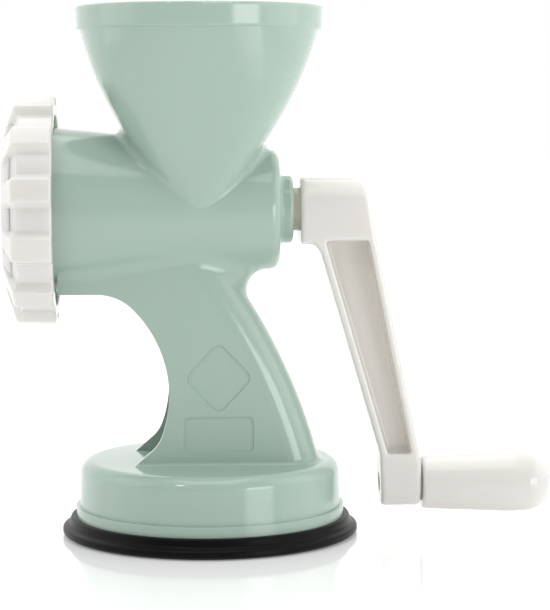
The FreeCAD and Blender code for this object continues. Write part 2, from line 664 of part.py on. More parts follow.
def boss_root(edge):
    """The edge where the bearing boss stands on the barrel's back face."""
    box = edge.BoundBox
    on_face = abs(box.XMin - value("barrel_back_x")) < TOLERANCE and box.XLength < TOLERANCE
    return on_face and abs(box.ZMax - value("axis_height + boss_radius")) < TOLERANCE


def boss_end(edge):
    """The bearing boss's outer edge."""
    box = edge.BoundBox
    return abs(box.XMin - value("boss_end_x")) < TOLERANCE and box.ZLength > value("2 * bush_radius")


barrel_round = rounded("barrel_round", barrel_blank, "barrel_back_round", back_corner)
boss_hollow = rounded("boss_hollow", barrel_round, "boss_root_round", boss_root)
barrel = rounded("barrel", boss_hollow, "boss_end_round", boss_end)
upper_form = rounded("upper_form", joined("upper_blank", barrel, bowl), "bowl_fillet", on_barrel)

# Leg: a channel with flat sides and a curved back, open in front under an arch


def leg_outline(inset, low):
    """The closed side outline of the leg, or of its hollow when it is set in by the wall."""
    radius = value("leg_back_radius")
    top = Vector(value("leg_top_x"), 0, value("leg_top_height"))
    foot = Vector(value("leg_foot_x"), 0, value("leg_foot_height"))
    chord = foot - top
    outward = Vector(-chord.z, 0, chord.x).normalize()
    centre = (top + foot) / 2 - outward * math.sqrt(radius ** 2 - (chord.Length / 2) ** 2)

    def on_curve(height):
        reach = math.sqrt((radius - inset) ** 2 - (height - centre.z) ** 2)
        return Vector(centre.x + reach, 0, height)

    high, middle = value("axis_height"), value("arch_centre_height")
    curve = Part.Arc(on_curve(high), on_curve((high + low) / 2), on_curve(low)).toShape()
    front, toe = value("rib_end_x"), value("arch_toe_x")
    corners = [on_curve(low), Vector(toe, 0, low), Vector(toe, 0, middle),
               Vector(front, 0, middle), Vector(front, 0, high), on_curve(high)]
    return Part.Wire([curve, *(Part.makeLine(*ends) for ends in zip(corners, corners[1:]))])


def arch_outline():
    """The side outline of the room under the arch, with its two ends still sharp."""
    radius, middle = value("arch_radius"), value("arch_centre_height")
    low, high, front = value("cap_top"), value("arch_top"), value("arch_centre_x - arch_radius")

    def on_arch(height):
        return Vector(value("arch_centre_x") + math.sqrt(radius ** 2 - (height - middle) ** 2), 0, height)

    instep = on_arch(value("arch_instep"))
    corners = [instep, Vector(value("arch_toe_x"), 0, low), Vector(front, 0, low), Vector(front, 0, high),
               on_arch(high)]
    curve = Part.Arc(on_arch(high), on_arch(middle), instep).toShape()
    return Part.Wire([curve, *(Part.makeLine(*ends) for ends in zip(corners, corners[1:]))])


def raised(name, outline, half_depth):
    """A side outline raised to both sides of the middle plane."""
    solid = doc.addObject("Part::Extrusion", name)
    solid.Base = shaped(f"{name}_outline", Part.Face(outline))
    solid.DirMode = "Custom"
    solid.Dir = Vector(0, 1, 0)
    solid.Symmetric = True
    solid.Solid = False
    bind(solid, LengthFwd=f"2 * ({half_depth})")
    return solid


def leg_block(name, inset, half_depth, corner):
    """The leg's outline raised to both sides and rounded along its back."""
    blank = raised(f"{name}_blank", leg_outline(inset, value("cap_top - base_wall") - inset), half_depth)

    def back_edge(edge):
        box = edge.BoundBox
        return box.ZLength > TOLERANCE and box.YLength < TOLERANCE and box.XMax > 0

    return rounded(name, blank, corner, back_edge)


def across_arch(height):
    """A test for the edge that runs across the arch at a height."""
    def wanted(edge):
        box = edge.BoundBox
        level = abs(box.ZMin - value(height)) < TOLERANCE and box.ZLength < TOLERANCE
        return level and box.XLength < TOLERANCE and box.XMin > value("arch_centre_x")

    return wanted


leg_outer = leg_block("leg_outer", 0.0, "leg_half_depth", "leg_corner")
leg_hollow = leg_block("leg_hollow", value("leg_wall"), "leg_half_depth - leg_wall", "leg_corner - leg_wall")
arch_blank = raised("arch_blank", arch_outline(), "leg_half_depth + overrun")
arch_shouldered = rounded("arch_shouldered", arch_blank, "arch_shoulder", across_arch("arch_top"))
arch = rounded("arch", arch_shouldered, "arch_instep_round", across_arch("arch_instep"))
leg = cut("leg", leg_outer, arch)

# Base: a round cap, open below, with pillars for its screws and bearings for the cam shaft

cap_blank = turned("cap_blank", [
    ("0", "lip_top"),
    ("cap_radius", "lip_top"),
    ("cap_radius - cap_draft", "cap_top"),
    ("0", "cap_top"),
], axis="V_Axis")
cap_inside = turned("cap_inside", [
    ("0", "lip_top"),
    ("cap_radius - base_wall", "lip_top"),
    ("cap_radius - base_wall - cap_draft", "cap_top - base_wall"),
    ("0", "cap_top - base_wall"),
], axis="V_Axis")


def cap_edge(edge):
    """The base's top edge."""
    box = edge.BoundBox
    return box.ZMin > value("cap_top") - TOLERANCE and box.XMax > value("cap_radius - cap_draft") - TOLERANCE


def on_cap_top(edge):
    """An edge where the leg meets the base's top face, other than at the arch's toe."""
    box = edge.BoundBox
    level = abs(box.ZMin - value("cap_top")) < TOLERANCE and box.ZLength < TOLERANCE
    at_toe = box.XLength < TOLERANCE and box.XMax < 0
    return level and not at_toe and max(box.YMax, -box.YMin) < value("leg_half_depth") + TOLERANCE


def on_leg_back(place):
    """A place on the leg's back, clear of its flat sides."""
    return abs(place.y) < value("leg_half_depth") - TOLERANCE and place.x > 0


cap = rounded("cap", cap_blank, "cap_round", cap_edge)
lower_form = flared("lower_form", joined("lower_blank", leg, cap), "foot_fillet", "foot_flare",
                    on_cap_top, on_leg_back)


def screw_places():
    """The places of the base plate's screws, each a pair of expressions."""
    turns = [f"(base_screw_angle + {index} * 360 / base_screw_count)"
             for index in range(int(value("base_screw_count")))]
    return [(f"base_screw_circle * cos({turn} * 1deg)", f"base_screw_circle * sin({turn} * 1deg)")
            for turn in turns]


def round_the_base(name, radius, low, high):
    """Upright cylinders on the circle of the base plate's screws."""
    return [cylinder(f"{name}_{index}", radius, f"({high}) - ({low})", x=x, y=y, z=low)
            for index, (x, y) in enumerate(screw_places(), start=1)]


base_screw_seat = "plate_underside + small_head_height + head_sink"
ceiling = "cap_top - base_wall + root_sink"
pillars = round_the_base("pillar", "pillar_radius", "plate_underside + base_plate_thickness", ceiling)
pilot_holes = round_the_base("pilot", "small_screw_radius + seat_clearance",
                             "plate_underside + base_plate_thickness",
                             f"{base_screw_seat} + base_screw_length + pilot_spare")
saddle = block("saddle", ("-saddle_half_length", "saddle_far_y", "cam_height"),
               ("saddle_half_length", "saddle_near_y", ceiling))
saddle_middle = "(saddle_near_y + saddle_far_y) / 2"
saddle_through = "saddle_near_y - saddle_far_y + 2 * overrun"
saddle_bore = cylinder("saddle_bore", "journal_radius + running_clearance", saddle_through,
                       y="saddle_far_y - overrun", z="cam_height", along="Y")
saddle_pilots = [
    cylinder(f"saddle_pilot_{side}", "small_screw_radius + seat_clearance",
             "saddle_cap_low + bearing_screw_length + pilot_spare - cam_height + overrun",
             x=f"{sign} * saddle_screw_x", y=saddle_middle, z="cam_height - overrun")
    for side, sign in (("left", -1), ("right", 1))
]
outer_boss = cylinder("outer_boss", "outer_boss_radius", "outer_boss_y - outer_boss_inner_y",
                      y="outer_boss_inner_y", z="cam_height", along="Y")
outer_bore = cylinder("outer_bore", "cam_shaft_radius + running_clearance",
                      "outer_boss_y - outer_boss_inner_y + 2 * overrun", y="outer_boss_inner_y - overrun",
                      z="cam_height", along="Y")

# Blank panels sunk in the leg's near side, a diamond above a plaque


def panel(name, points, corner):
    """A rounded outline sunk into the leg's near face."""
    near = -value("leg_half_depth")
    corners = [Vector(value("panel_centre_x") + x, near, z) for x, z in points]
    blank = Part.Face(Part.makePolygon(corners + corners[:1])).extrude(Vector(0, value("panel_sink"), 0))
    across = [edge for edge in blank.Edges if abs(edge.Length - value("panel_sink")) < TOLERANCE]
    return shaped(name, blank.makeFillet(corner, across))


diamond = panel("diamond", [
    (-value("diamond_half_width"), value("diamond_height")),
    (0, value("diamond_height - diamond_half_height")),
    (value("diamond_half_width"), value("diamond_height")),
    (0, value("diamond_height + diamond_half_height")),
], value("diamond_corner"))
plaque = panel("plaque", [
    (-value("plaque_length / 2"), value("plaque_height - plaque_width / 2")),
    (value("plaque_length / 2"), value("plaque_height - plaque_width / 2")),
    (value("plaque_length / 2"), value("plaque_height + plaque_width / 2")),
    (-value("plaque_length / 2"), value("plaque_height + plaque_width / 2")),
], value("plaque_corner"))


peg_start = "mouth_x + mouth_chamfer"
peg_height = "axis_height - plate_radius - plate_fit"
peg_hole = cylinder("peg_hole", "peg_radius + seat_clearance", "peg_length", along="X",
                    x=peg_start, z=peg_height)
outer_blank = joined("outer_blank", upper_form, lower_form)
outer_filleted = rounded("outer_filleted", outer_blank, "neck_fillet", on_barrel)
outer_form = joined("outer_form", outer_filleted, rim)
leg_room = cut("leg_room", leg_hollow, barrel, cap)
hollow_form = cut("hollow_form", outer_form, chamber, bowl_inside, cap_inside, leg_room, diamond, plaque)
with_bearings = joined("with_bearings", hollow_form, saddle, outer_boss, *pillars)
keep(cut("housing_solid", with_bearings, saddle_bore, outer_bore, peg_hole, *saddle_pilots, *pilot_holes),
     "housing")

# Base plate and rubber foot

spigot_outside = "cap_radius - base_wall - spigot_fit"
plate_blank = turned("plate_blank", [
    ("base_hole_radius", "plate_underside"),
    ("lip_radius", "plate_underside"),
    ("lip_radius", "lip_top"),
    (spigot_outside, "lip_top"),
    (f"{spigot_outside} - spigot_taper", "spigot_height"),
    (f"{spigot_outside} - spigot_wall", "spigot_height"),
    (f"{spigot_outside} - spigot_wall", "plate_underside + base_plate_thickness"),
    ("base_hole_radius", "plate_underside + base_plate_thickness"),
], axis="V_Axis")
screw_ways = round_the_base("screw_way", "small_screw_radius + through_clearance",
                            "plate_underside - overrun", "plate_underside + base_plate_thickness + overrun")
head_ways = round_the_base("head_way", "small_head_radius + through_clearance",
                           "plate_underside - overrun", base_screw_seat)
spigot_ways = round_the_base("spigot_way", "pillar_radius + pillar_gap",
                             "plate_underside + base_plate_thickness", "spigot_height + overrun")
boss_way = cylinder("boss_way", "outer_boss_radius + through_clearance", "outer_boss_y - outer_boss_inner_y",
                    y="outer_boss_inner_y", z="cam_height", along="Y")
keep(cut("base_plate_solid", plate_blank, boss_way, *screw_ways, *head_ways, *spigot_ways), "base_plate")
keep(turned("suction_pad_body", [
    ("0", "vacuum_rise"),
    ("vacuum_flat", "vacuum_rise"),
    ("vacuum_radius", "0"),
    ("foot_rest_radius", "0"),
    ("foot_tip_radius", "foot_tip_low"),
    ("foot_tip_radius", "foot_tip_high"),
    ("foot_ridge_radius + foot_step", "foot_ridge_foot - foot_step_drop"),
    ("foot_ridge_radius", "foot_ridge_foot"),
    ("foot_ridge_radius", "foot_ridge_top"),
    ("lip_radius + seat_clearance", "foot_ridge_top"),
    ("lip_radius + seat_clearance", "plate_underside"),
    ("foot_bead_radius", "plate_underside"),
    ("foot_bead_radius", "membrane"),
    ("vacuum_radius", "membrane"),
    ("vacuum_flat", "vacuum_rise + membrane"),
    ("neck_radius", "vacuum_rise + membrane"),
    ("neck_radius", "neck_top"),
    ("stud_radius + plate_fit", "neck_top"),
    ("stud_radius + plate_fit", "stud_flange_high + seat_clearance"),
    ("stud_flange_radius + plate_fit", "stud_flange_high + seat_clearance"),
    ("stud_flange_radius + plate_fit", "stud_flange_low - seat_clearance"),
    ("0", "stud_flange_low - seat_clearance"),
], axis="V_Axis"), "suction_pad")


def screw_up(name, x, y, face, length):
    """A small pan-head screw that stands upright, its head under a face."""
    head = cylinder(f"{name}_head", "small_head_radius", "small_head_height",
                    x=x, y=y, z=f"{face} - small_head_height")
    shank = cylinder(f"{name}_shank", "small_screw_radius", length, x=x, y=y, z=face)
    return joined(name, head, shank)


keep(grouped("base_screw_group", *[
    screw_up(f"base_screw_{index}", x, y, base_screw_seat, "base_screw_length")
    for index, (x, y) in enumerate(screw_places(), start=1)
]), "base_plate_screws")

# Lock: a lever at the back turns an eccentric that draws the foot's middle up

saddle_cap_blank = block("saddle_cap_blank", ("-saddle_half_length", "saddle_far_y", "saddle_cap_low"),
                         ("saddle_half_length", "saddle_near_y", "cam_height"))
cap_ways = [
    cylinder(f"cap_way_{side}", "small_screw_radius + through_clearance",
             "cam_height - saddle_cap_low + 2 * overrun", x=f"{sign} * saddle_screw_x", y=saddle_middle,
             z="saddle_cap_low - overrun")
    for side, sign in (("left", -1), ("right", 1))
]
cap_bore = cylinder("cap_bore", "journal_radius + running_clearance", saddle_through,
                    y="saddle_far_y - overrun", z="cam_height", along="Y")
keep(cut("bearing_cap_solid", saddle_cap_blank, cap_bore, *cap_ways), "cam_bearing_cap")
keep(grouped("bearing_screw_group", *[
    screw_up(f"bearing_screw_{side}", f"{sign} * saddle_screw_x", saddle_middle, "saddle_cap_low",
             "bearing_screw_length")
    for side, sign in (("left", -1), ("right", 1))
]), "cam_bearing_screws")

eccentric_x = "cam_throw * cos(cam_rest_angle * 1deg)"
eccentric_z = "cam_height + cam_throw * sin(cam_rest_angle * 1deg)"
lever_face = "outer_boss_y + lever_gap"
lever_outer = "outer_boss_y + lever_gap + lever_width"
journal = cylinder("journal", "journal_radius", "-saddle_far_y - cam_half_width", y="saddle_far_y",
                   z="cam_height", along="Y")
eccentric = cylinder("eccentric", "cam_radius", "2 * cam_half_width", x=eccentric_x, y="-cam_half_width",
                     z=eccentric_z, along="Y")
cam_rod = cylinder("cam_rod", "cam_shaft_radius", f"{lever_face} + rod_reach - cam_half_width",
                   y="cam_half_width", z="cam_height", along="Y")
cam_square = block("cam_square", ("-lever_square / 2", f"{lever_face}", "cam_height - lever_square / 2"),
                   ("lever_square / 2", f"{lever_outer} - square_setback", "cam_height + lever_square / 2"))
cam_tap = cylinder("cam_tap", "small_screw_radius + seat_clearance", "lever_screw_length + blind_gap",
                   y=f"{lever_outer} - lever_screw_length - blind_gap", z="cam_height", along="Y")
keep(cut("cam_shaft_solid", joined("cam_shaft_blank", journal, eccentric, cam_rod, cam_square), cam_tap),
     "cam_shaft")

window_low = f"{eccentric_z} - cam_radius - cam_clearance"
window_high = f"{eccentric_z} + cam_radius + cam_clearance"
window_left = f"{eccentric_x} - cam_radius - cam_clearance"
window_right = "cam_throw + cam_radius + cam_clearance"
yoke_blank = block("yoke_blank",
                   (f"{window_left} - yoke_bar", "-yoke_half_width", f"{window_low} - yoke_bar"),
                   (f"{window_right} + yoke_bar", "yoke_half_width", f"{window_high} + yoke_bar"))
yoke_window = block("yoke_window", (window_left, "-yoke_half_width - overrun", window_low),
                    (window_right, "yoke_half_width + overrun", window_high))
stem = cylinder("stem", "stud_radius", f"{window_low} - root_sink - stud_flange_low", z="stud_flange_low")
flange = cylinder("flange", "stud_flange_radius", "stud_flange_high - stud_flange_low", z="stud_flange_low")
keep(cut("lift_stud_solid", joined("lift_stud_blank", yoke_blank, stem, flange), yoke_window), "lift_stud")

lever_hub = cylinder("lever_hub", "lever_hub_radius", "lever_width", y=lever_face, z="cam_height", along="Y")
lever_tip = cylinder("lever_tip", "lever_tip_radius", "lever_width", x="-lever_length", y=lever_face,
                     z="cam_height", along="Y")
lever_body = new_body("lever_arm", y=lever_outer, z="cam_height")
lever_sketch = new_sketch(lever_body, "XZ_Plane", "lever_outline")
draw_polygon(lever_sketch, [
    ("0", "-lever_hub_radius"),
    ("0", "lever_hub_radius"),
    ("-lever_length", "lever_tip_radius"),
    ("-lever_length", "-lever_tip_radius"),
])
padded(lever_body, lever_sketch, "lever_width")
half_hole = "(lever_square / 2 + drive_fit)"
lever_hole = block("lever_hole", (f"-{half_hole}", lever_face, f"cam_height - {half_hole}"),
                   (half_hole, f"{lever_outer} + overrun", f"cam_height + {half_hole}"))
lever_way = cylinder("lever_way", "cam_shaft_radius + drive_fit", "overrun + rod_reach + drive_fit",
                     y=f"{lever_face} - overrun", z="cam_height", along="Y")
keep(cut("lever_solid", joined("lever_blank", lever_hub, lever_tip, lever_body), lever_hole, lever_way),
     "suction_lever")
lever_head = cylinder("lever_head", "lever_head_radius", "small_head_height", y=lever_outer,
                      z="cam_height", along="Y")
lever_shank = cylinder("lever_shank", "small_screw_radius", "lever_screw_length",
                       y=f"{lever_outer} - lever_screw_length", z="cam_height", along="Y")
keep(joined("lever_screw_solid", lever_head, lever_shank), "lever_screw")

# Bearing of the feed screw

keep(turned("thrust_washer_body", [
    ("chamber_back_x - washer_thickness", "shaft_radius + running_clearance"),
    ("chamber_back_x - washer_thickness", "collar_radius"),
    ("chamber_back_x", "collar_radius"),
    ("chamber_back_x", "shaft_radius + running_clearance"),
], z="axis_height"), "thrust_washer")
keep(turned("shaft_seal_body", [
    ("chamber_back_x", "shaft_radius + running_clearance"),
    ("chamber_back_x", "bush_radius"),
    ("chamber_back_x + seal_length", "bush_radius"),
    ("chamber_back_x + seal_length", "shaft_radius + running_clearance"),
], z="axis_height"), "shaft_seal")
keep(turned("bearing_bush_body", [
    ("chamber_back_x + seal_length", "shaft_radius + running_clearance"),
    ("chamber_back_x + seal_length", "bush_radius"),
    ("boss_end_x", "bush_radius"),
    ("boss_end_x", "shaft_radius + running_clearance"),
], z="axis_height"), "bearing_bush")

# Feed screw with its steel spindle

collar_back = "chamber_back_x - washer_thickness - end_play"
screw_core = turned("screw_core", [
    ("screw_front_x", "0"),
    ("screw_front_x", "screw_core_front"),
    (f"{collar_back} - collar_length", "screw_core_back"),
    (f"{collar_back} - collar_length", "collar_radius"),
    (collar_back, "collar_radius"),
    (collar_back, "shaft_radius"),
    ("boss_end_x + hub_gap", "shaft_radius"),
    ("boss_end_x + hub_gap", "0"),
], z="axis_height")
drive = block("drive", ("boss_end_x + hub_gap - overrun", "-drive_side / 2", "axis_height - drive_side / 2"),
              ("boss_end_x + hub_gap + drive_length", "drive_side / 2", "axis_height + drive_side / 2"))
flight_room = turned("flight_room", [
    ("screw_front_x", "0"),
    ("screw_front_x", "chamber_front_radius - screw_clearance"),
    ("chamber_back_x", "chamber_back_radius - screw_clearance"),
    ("chamber_back_x", "0"),
], z="axis_height")
flight_end = f"{collar_back} - collar_length / 2"
flight = turned("flight", [
    ("screw_front_x", "0"),
    ("screw_front_x", "screw_core_front - flight_sink"),
    (flight_end, "screw_core_front - flight_sink"),
    (flight_end, "0"),
], z="axis_height")
flight_start = "screw_front_x + flight_setback"
wound(flight, [
    (flight_start, "screw_core_front - 2 * flight_sink"),
    (f"{flight_start} + (flight_root - flight_tip) / 2", "chamber_front_radius + overrun"),
    (f"{flight_start} + (flight_root + flight_tip) / 2", "chamber_front_radius + overrun"),
    (f"{flight_start} + flight_root", "screw_core_front - 2 * flight_sink"),
], "flight_pitch", f"({flight_end} - screw_front_x - flight_root) / flight_pitch")
flight_cut = doc.addObject("Part::Common", "flight_cut")
flight_cut.Base = flight
flight_cut.Tool = flight_room
spindle_hole = cylinder("spindle_hole", "spindle_tail_radius + seat_clearance", "spindle_tail", along="X",
                        x="screw_front_x", z="axis_height")
hub_tap = cylinder("hub_tap", "hub_screw_radius + seat_clearance", "hub_screw_length", along="X",
                   x="hub_recess_floor_x - hub_screw_length", z="axis_height")
feed_screw_blank = joined("feed_screw_blank", screw_core, flight_cut, drive)
keep(cut("feed_screw_solid", feed_screw_blank, spindle_hole, hub_tap), "feed_screw")

plate_front = "nut_front_x + nut_lip"
plate_back = "nut_front_x + nut_lip + plate_thickness"
knife_back = "nut_front_x + nut_lip + plate_thickness + knife_gap + knife_thickness"
spindle_tail = cylinder("spindle_tail_rod", "spindle_tail_radius", "spindle_tail - blind_gap", along="X",
                        x="screw_front_x", z="axis_height")
spindle_square = block("spindle_square",
                       (f"{plate_back} + knife_gap", "-spindle_side / 2", "axis_height - spindle_side / 2"),
                       ("screw_front_x", "spindle_side / 2", "axis_height + spindle_side / 2"))
spindle_nose = cylinder("spindle_nose", "spindle_nose_radius",
                        "plate_thickness + spindle_nose_reach + overrun", along="X",
                        x=f"{plate_front} - spindle_nose_reach", z="axis_height")
keep(joined("spindle_solid", spindle_tail, spindle_square, spindle_nose), "knife_spindle")

# Knife: four blades on a square hub, their flat side against the plate

knife = new_body("knife_body", x=f"{plate_back} + knife_gap", z="axis_height")
hub_sketch = new_sketch(knife, "YZ_Plane", "knife_hub")
draw_circle(hub_sketch, "0", "0", "knife_hub_radius")
padded(knife, hub_sketch, "knife_thickness")
blade_sketch = new_sketch(knife, "XY_Plane", "blade_section")
draw_polygon(blade_sketch, [
    ("0", "-blade_tip_width / 2"),
    ("0", "blade_root_width / 2"),
    ("knife_thickness - blade_relief", "blade_root_width / 2 - blade_bevel"),
    ("knife_thickness - blade_relief", "-blade_tip_width / 2"),
])
blade = padded(knife, blade_sketch, "knife_radius")
repeated(knife, blade, "knife_blades")
square_sketch = new_sketch(knife, "YZ_Plane", "knife_square")
half_square = "(spindle_side / 2 + spindle_fit)"
draw_polygon(square_sketch, [
    (f"-{half_square}", f"-{half_square}"),
    (half_square, f"-{half_square}"),
    (half_square, half_square),
    (f"-{half_square}", half_square),
])
pocketed(knife, square_sketch, "3 * knife_thickness", symmetric=True)
knife_room = turned("knife_room", [
    (plate_back, "0"),
    (plate_back, "knife_radius"),
    (knife_back, "knife_radius"),
    (knife_back, "0"),
], z="axis_height")
knife_trim = doc.addObject("Part::Common", "knife_trim")
knife_trim.Base = knife
knife_trim.Tool = knife_room
keep(knife_trim, "knife")

# Perforated plate

cutting_plate = new_body("cutting_plate_body", x=plate_front, z="axis_height")
disc_sketch = new_sketch(cutting_plate, "YZ_Plane", "plate_disc")
draw_circle(disc_sketch, "0", "0", "plate_radius")
draw_circle(disc_sketch, "0", "0", "plate_bore_radius")
padded(cutting_plate, disc_sketch, "plate_thickness")
for ring in range(1, int(value("plate_hole_rings")) + 1):
    hole_sketch = new_sketch(cutting_plate, "YZ_Plane", f"hole_ring_{ring}")
    draw_circle(hole_sketch, "0", f"{ring} * plate_ring_step + plate_ring_start", "plate_hole_radius")
    hole = pocketed(cutting_plate, hole_sketch, "3 * plate_thickness", symmetric=True)
    repeated(cutting_plate, hole, str(6 * ring))
notch_sketch = new_sketch(cutting_plate, "YZ_Plane", "plate_notch")
draw_circle(notch_sketch, "0", "-plate_radius - plate_fit", "peg_radius + peg_clearance")
pocketed(cutting_plate, notch_sketch, "3 * plate_thickness", symmetric=True)
keep(cutting_plate, "cutting_plate")
keep(cylinder("peg_rod", "peg_radius", "peg_length", along="X", x=peg_start, z=peg_height), "plate_peg")

# Ring nut: a cup with twelve lobes, the flutes running on over its sloping front

nut_floor = turned("nut_floor", [
    ("nut_front_x", "0"),
    ("nut_front_x", "nut_face_radius"),
    ("nut_shoulder_x + flute_depth * front_flute_share", "nut_radius - flute_depth"),
    ("nut_back_x", "nut_radius - flute_depth"),
    ("nut_back_x", "0"),
], z="axis_height")
nut_full = turned("nut_full", [
    ("nut_front_x", "0"),
    ("nut_front_x", "nut_face_radius"),
    ("nut_shoulder_x", "nut_radius"),
    ("nut_back_x", "nut_radius"),
    ("nut_back_x", "0"),
], z="axis_height")
lobes = new_body("lobes", x="nut_front_x - overrun", z="axis_height")
lobes.Placement.Rotation = Rotation(Vector(1, 0, 0), value("lobe_turn"))
bind(lobes, Placement__Rotation__Angle="lobe_turn")
lobe_sketch = new_sketch(lobes, "YZ_Plane", "lobe_section")
floor = "(nut_radius - flute_depth)"
crest = "(nut_radius + overrun)"
inner = "(nut_face_radius - lobe_sink)"
crest_half = "(lobe_crest_angle / 2 * 1deg)"
root_half = "(lobe_root_angle / 2 * 1deg)"
draw_polygon(lobe_sketch, [
    (f"-{inner} * sin{root_half}", f"{inner} * cos{root_half}"),
    (f"-{floor} * sin{root_half}", f"{floor} * cos{root_half}"),
    (f"-{crest} * sin{crest_half}", f"{crest} * cos{crest_half}"),
    (f"{crest} * sin{crest_half}", f"{crest} * cos{crest_half}"),
    (f"{floor} * sin{root_half}", f"{floor} * cos{root_half}"),
    (f"{inner} * sin{root_half}", f"{inner} * cos{root_half}"),
])
lobe = padded(lobes, lobe_sketch, "nut_back_x - nut_front_x + overrun")
repeated(lobes, lobe, "nut_lobes")
lobe_trim = doc.addObject("Part::Common", "lobe_trim")
lobe_trim.Base = lobes
lobe_trim.Tool = nut_full
nut_bore_radius = "mouth_core_radius + mouth_thread_height + thread_clearance"
nut_inside = turned("nut_inside", [
    ("nut_front_x", "0"),
    ("nut_front_x", "nut_opening_radius"),
    (plate_front, "nut_opening_radius"),
    (plate_front, nut_bore_radius),
    ("nut_back_x", nut_bore_radius),
    ("nut_back_x", "0"),
], z="axis_height")
nut_thread = turned("nut_thread", [
    (plate_front, nut_bore_radius),
    (plate_front, f"{nut_bore_radius} + thread_sleeve"),
    ("nut_back_x", f"{nut_bore_radius} + thread_sleeve"),
    ("nut_back_x", nut_bore_radius),
], z="axis_height")
wound(nut_thread, thread_ridge(f"{thread_start} + thread_pitch / 2", f"{nut_bore_radius} + ridge_sink",
                               "mouth_core_radius + thread_clearance"), "thread_pitch", "nut_thread_turns")
nut_shell = cut("nut_shell", joined("nut_blank", nut_floor, lobe_trim), nut_inside)
keep(joined("ring_nut_solid", nut_shell, nut_thread), "ring_nut")

# Crank: a bent arm with a hub and an end boss, hollowed on both sides to an I section

grip_axis = "axis_height - crank_radius"
hub_face = "boss_end_x + hub_gap"
arm_room = f"arm_end_x - ({hub_face}) + 2 * overrun"
arm_side = new_body("arm_side")
side_sketch = new_sketch(arm_side, "XZ_Plane", "arm_side_outline")
draw_polygon(side_sketch, [
    (hub_face, "axis_height + hub_radius"),
    (hub_face, "axis_height - hub_radius"),
    ("arm_knee_x", "axis_height - hub_radius"),
    ("arm_inner_top_x", "axis_height - arm_inner_top_drop"),
    ("arm_inner_foot_x", "arm_foot_height"),
    ("arm_inner_end_x", f"{grip_axis} - arm_end_radius"),
    ("arm_end_x", f"{grip_axis} - arm_end_radius"),
    ("arm_end_x", "arm_end_top_height"),
    ("arm_outer_foot_x", "arm_foot_height"),
    ("arm_outer_top_x", "axis_height + arm_outer_top_rise"),
    ("hub_crown_x", "axis_height + hub_radius"),
])
padded(arm_side, side_sketch, "4 * hub_radius", symmetric=True)
arm_front = new_body("arm_front", x=f"{hub_face} - overrun", z="axis_height")
front_sketch = new_sketch(arm_front, "YZ_Plane", "arm_front_outline")
lean = "(asin((hub_radius - arm_end_radius) / crank_radius))"
draw_polygon(front_sketch, [
    (f"-hub_radius * cos{lean}", f"-hub_radius * sin{lean}"),
    (f"hub_radius * cos{lean}", f"-hub_radius * sin{lean}"),
    (f"arm_end_radius * cos{lean}", f"-crank_radius - arm_end_radius * sin{lean}"),
    (f"-arm_end_radius * cos{lean}", f"-crank_radius - arm_end_radius * sin{lean}"),
])
padded(arm_front, front_sketch, arm_room)
hub_rod = cylinder("hub_rod", "hub_radius", arm_room, along="X", x=f"{hub_face} - overrun", z="axis_height")
end_rod = cylinder("end_rod", "arm_end_radius", arm_room, along="X", x=f"{hub_face} - overrun", z=grip_axis)
arm_common = doc.addObject("Part::Common", "arm_common")
arm_common.Base = arm_side
arm_common.Tool = joined("arm_front_form", arm_front, hub_rod, end_rod)


def edge_at(height, foot_x, top_x, top_height):
    """Where a straight edge of the arm, up from its foot, stands at a given height."""
    share = f"({height} - arm_foot_height) / ({top_height} - arm_foot_height)"
    return f"{foot_x} + ({top_x} - {foot_x}) * {share}"


def pocket_corners(height):
    """The inner and the outer end of the arm's pockets at a given height."""
    inner_x = edge_at(height, "arm_inner_foot_x", "arm_inner_top_x", "(axis_height - arm_inner_top_drop)")
    outer_x = edge_at(height, "arm_outer_foot_x", "arm_outer_top_x", "(axis_height + arm_outer_top_rise)")
    return [(f"{inner_x} + arm_flange", height), (f"{outer_x} - arm_flange", height)]


pockets = []
for side, sign in (("near", -1), ("far", 1)):
    pocket_body = new_body(f"arm_pocket_{side}", y=f"{sign} * (arm_web / 2 + hub_radius)")
    pocket_sketch = new_sketch(pocket_body, "XZ_Plane", f"pocket_{side}_outline")
    draw_polygon(pocket_sketch, pocket_corners("pocket_bottom") + pocket_corners("pocket_top")[::-1])
    padded(pocket_body, pocket_sketch, "2 * hub_radius", symmetric=True)
    pockets.append(pocket_body)
half_drive = "(drive_side / 2 + drive_fit)"
socket_end = f"{hub_face} + drive_length + blind_gap"
socket = block("socket", (f"{hub_face} - overrun", f"-{half_drive}", f"axis_height - {half_drive}"),
               (socket_end, half_drive, f"axis_height + {half_drive}"))
hub_way = cylinder("hub_way", "hub_screw_radius + through_clearance",
                   f"hub_recess_floor_x + 2 * overrun - ({socket_end})", along="X",
                   x=f"{socket_end} - overrun", z="axis_height")
hub_recess = cylinder("hub_recess", "hub_recess_radius", "arm_end_x - hub_recess_floor_x", along="X",
                      x="hub_recess_floor_x", z="axis_height")
tail_way = cylinder("tail_way", "axle_radius + seat_clearance", "axle_tail_length + overrun", along="X",
                    x="arm_end_x - axle_tail_length", z=grip_axis)
axle_screw_way = cylinder("axle_screw_way", "axle_screw_radius + through_clearance",
                          "arm_end_x - axle_tail_length - axle_screw_seat_x + 2 * overrun", along="X",
                          x="axle_screw_seat_x - overrun", z=grip_axis)
axle_head_way = cylinder("axle_head_way", "axle_screw_head + through_clearance",
                         "axle_screw_seat_x - arm_inner_foot_x + 2 * overrun", along="X",
                         x="arm_inner_foot_x - 2 * overrun", z=grip_axis)
keep(cut("crank_solid", arm_common, socket, hub_way, hub_recess, tail_way, axle_screw_way, axle_head_way,
         *pockets), "crank_arm")

# Crank screw and washer

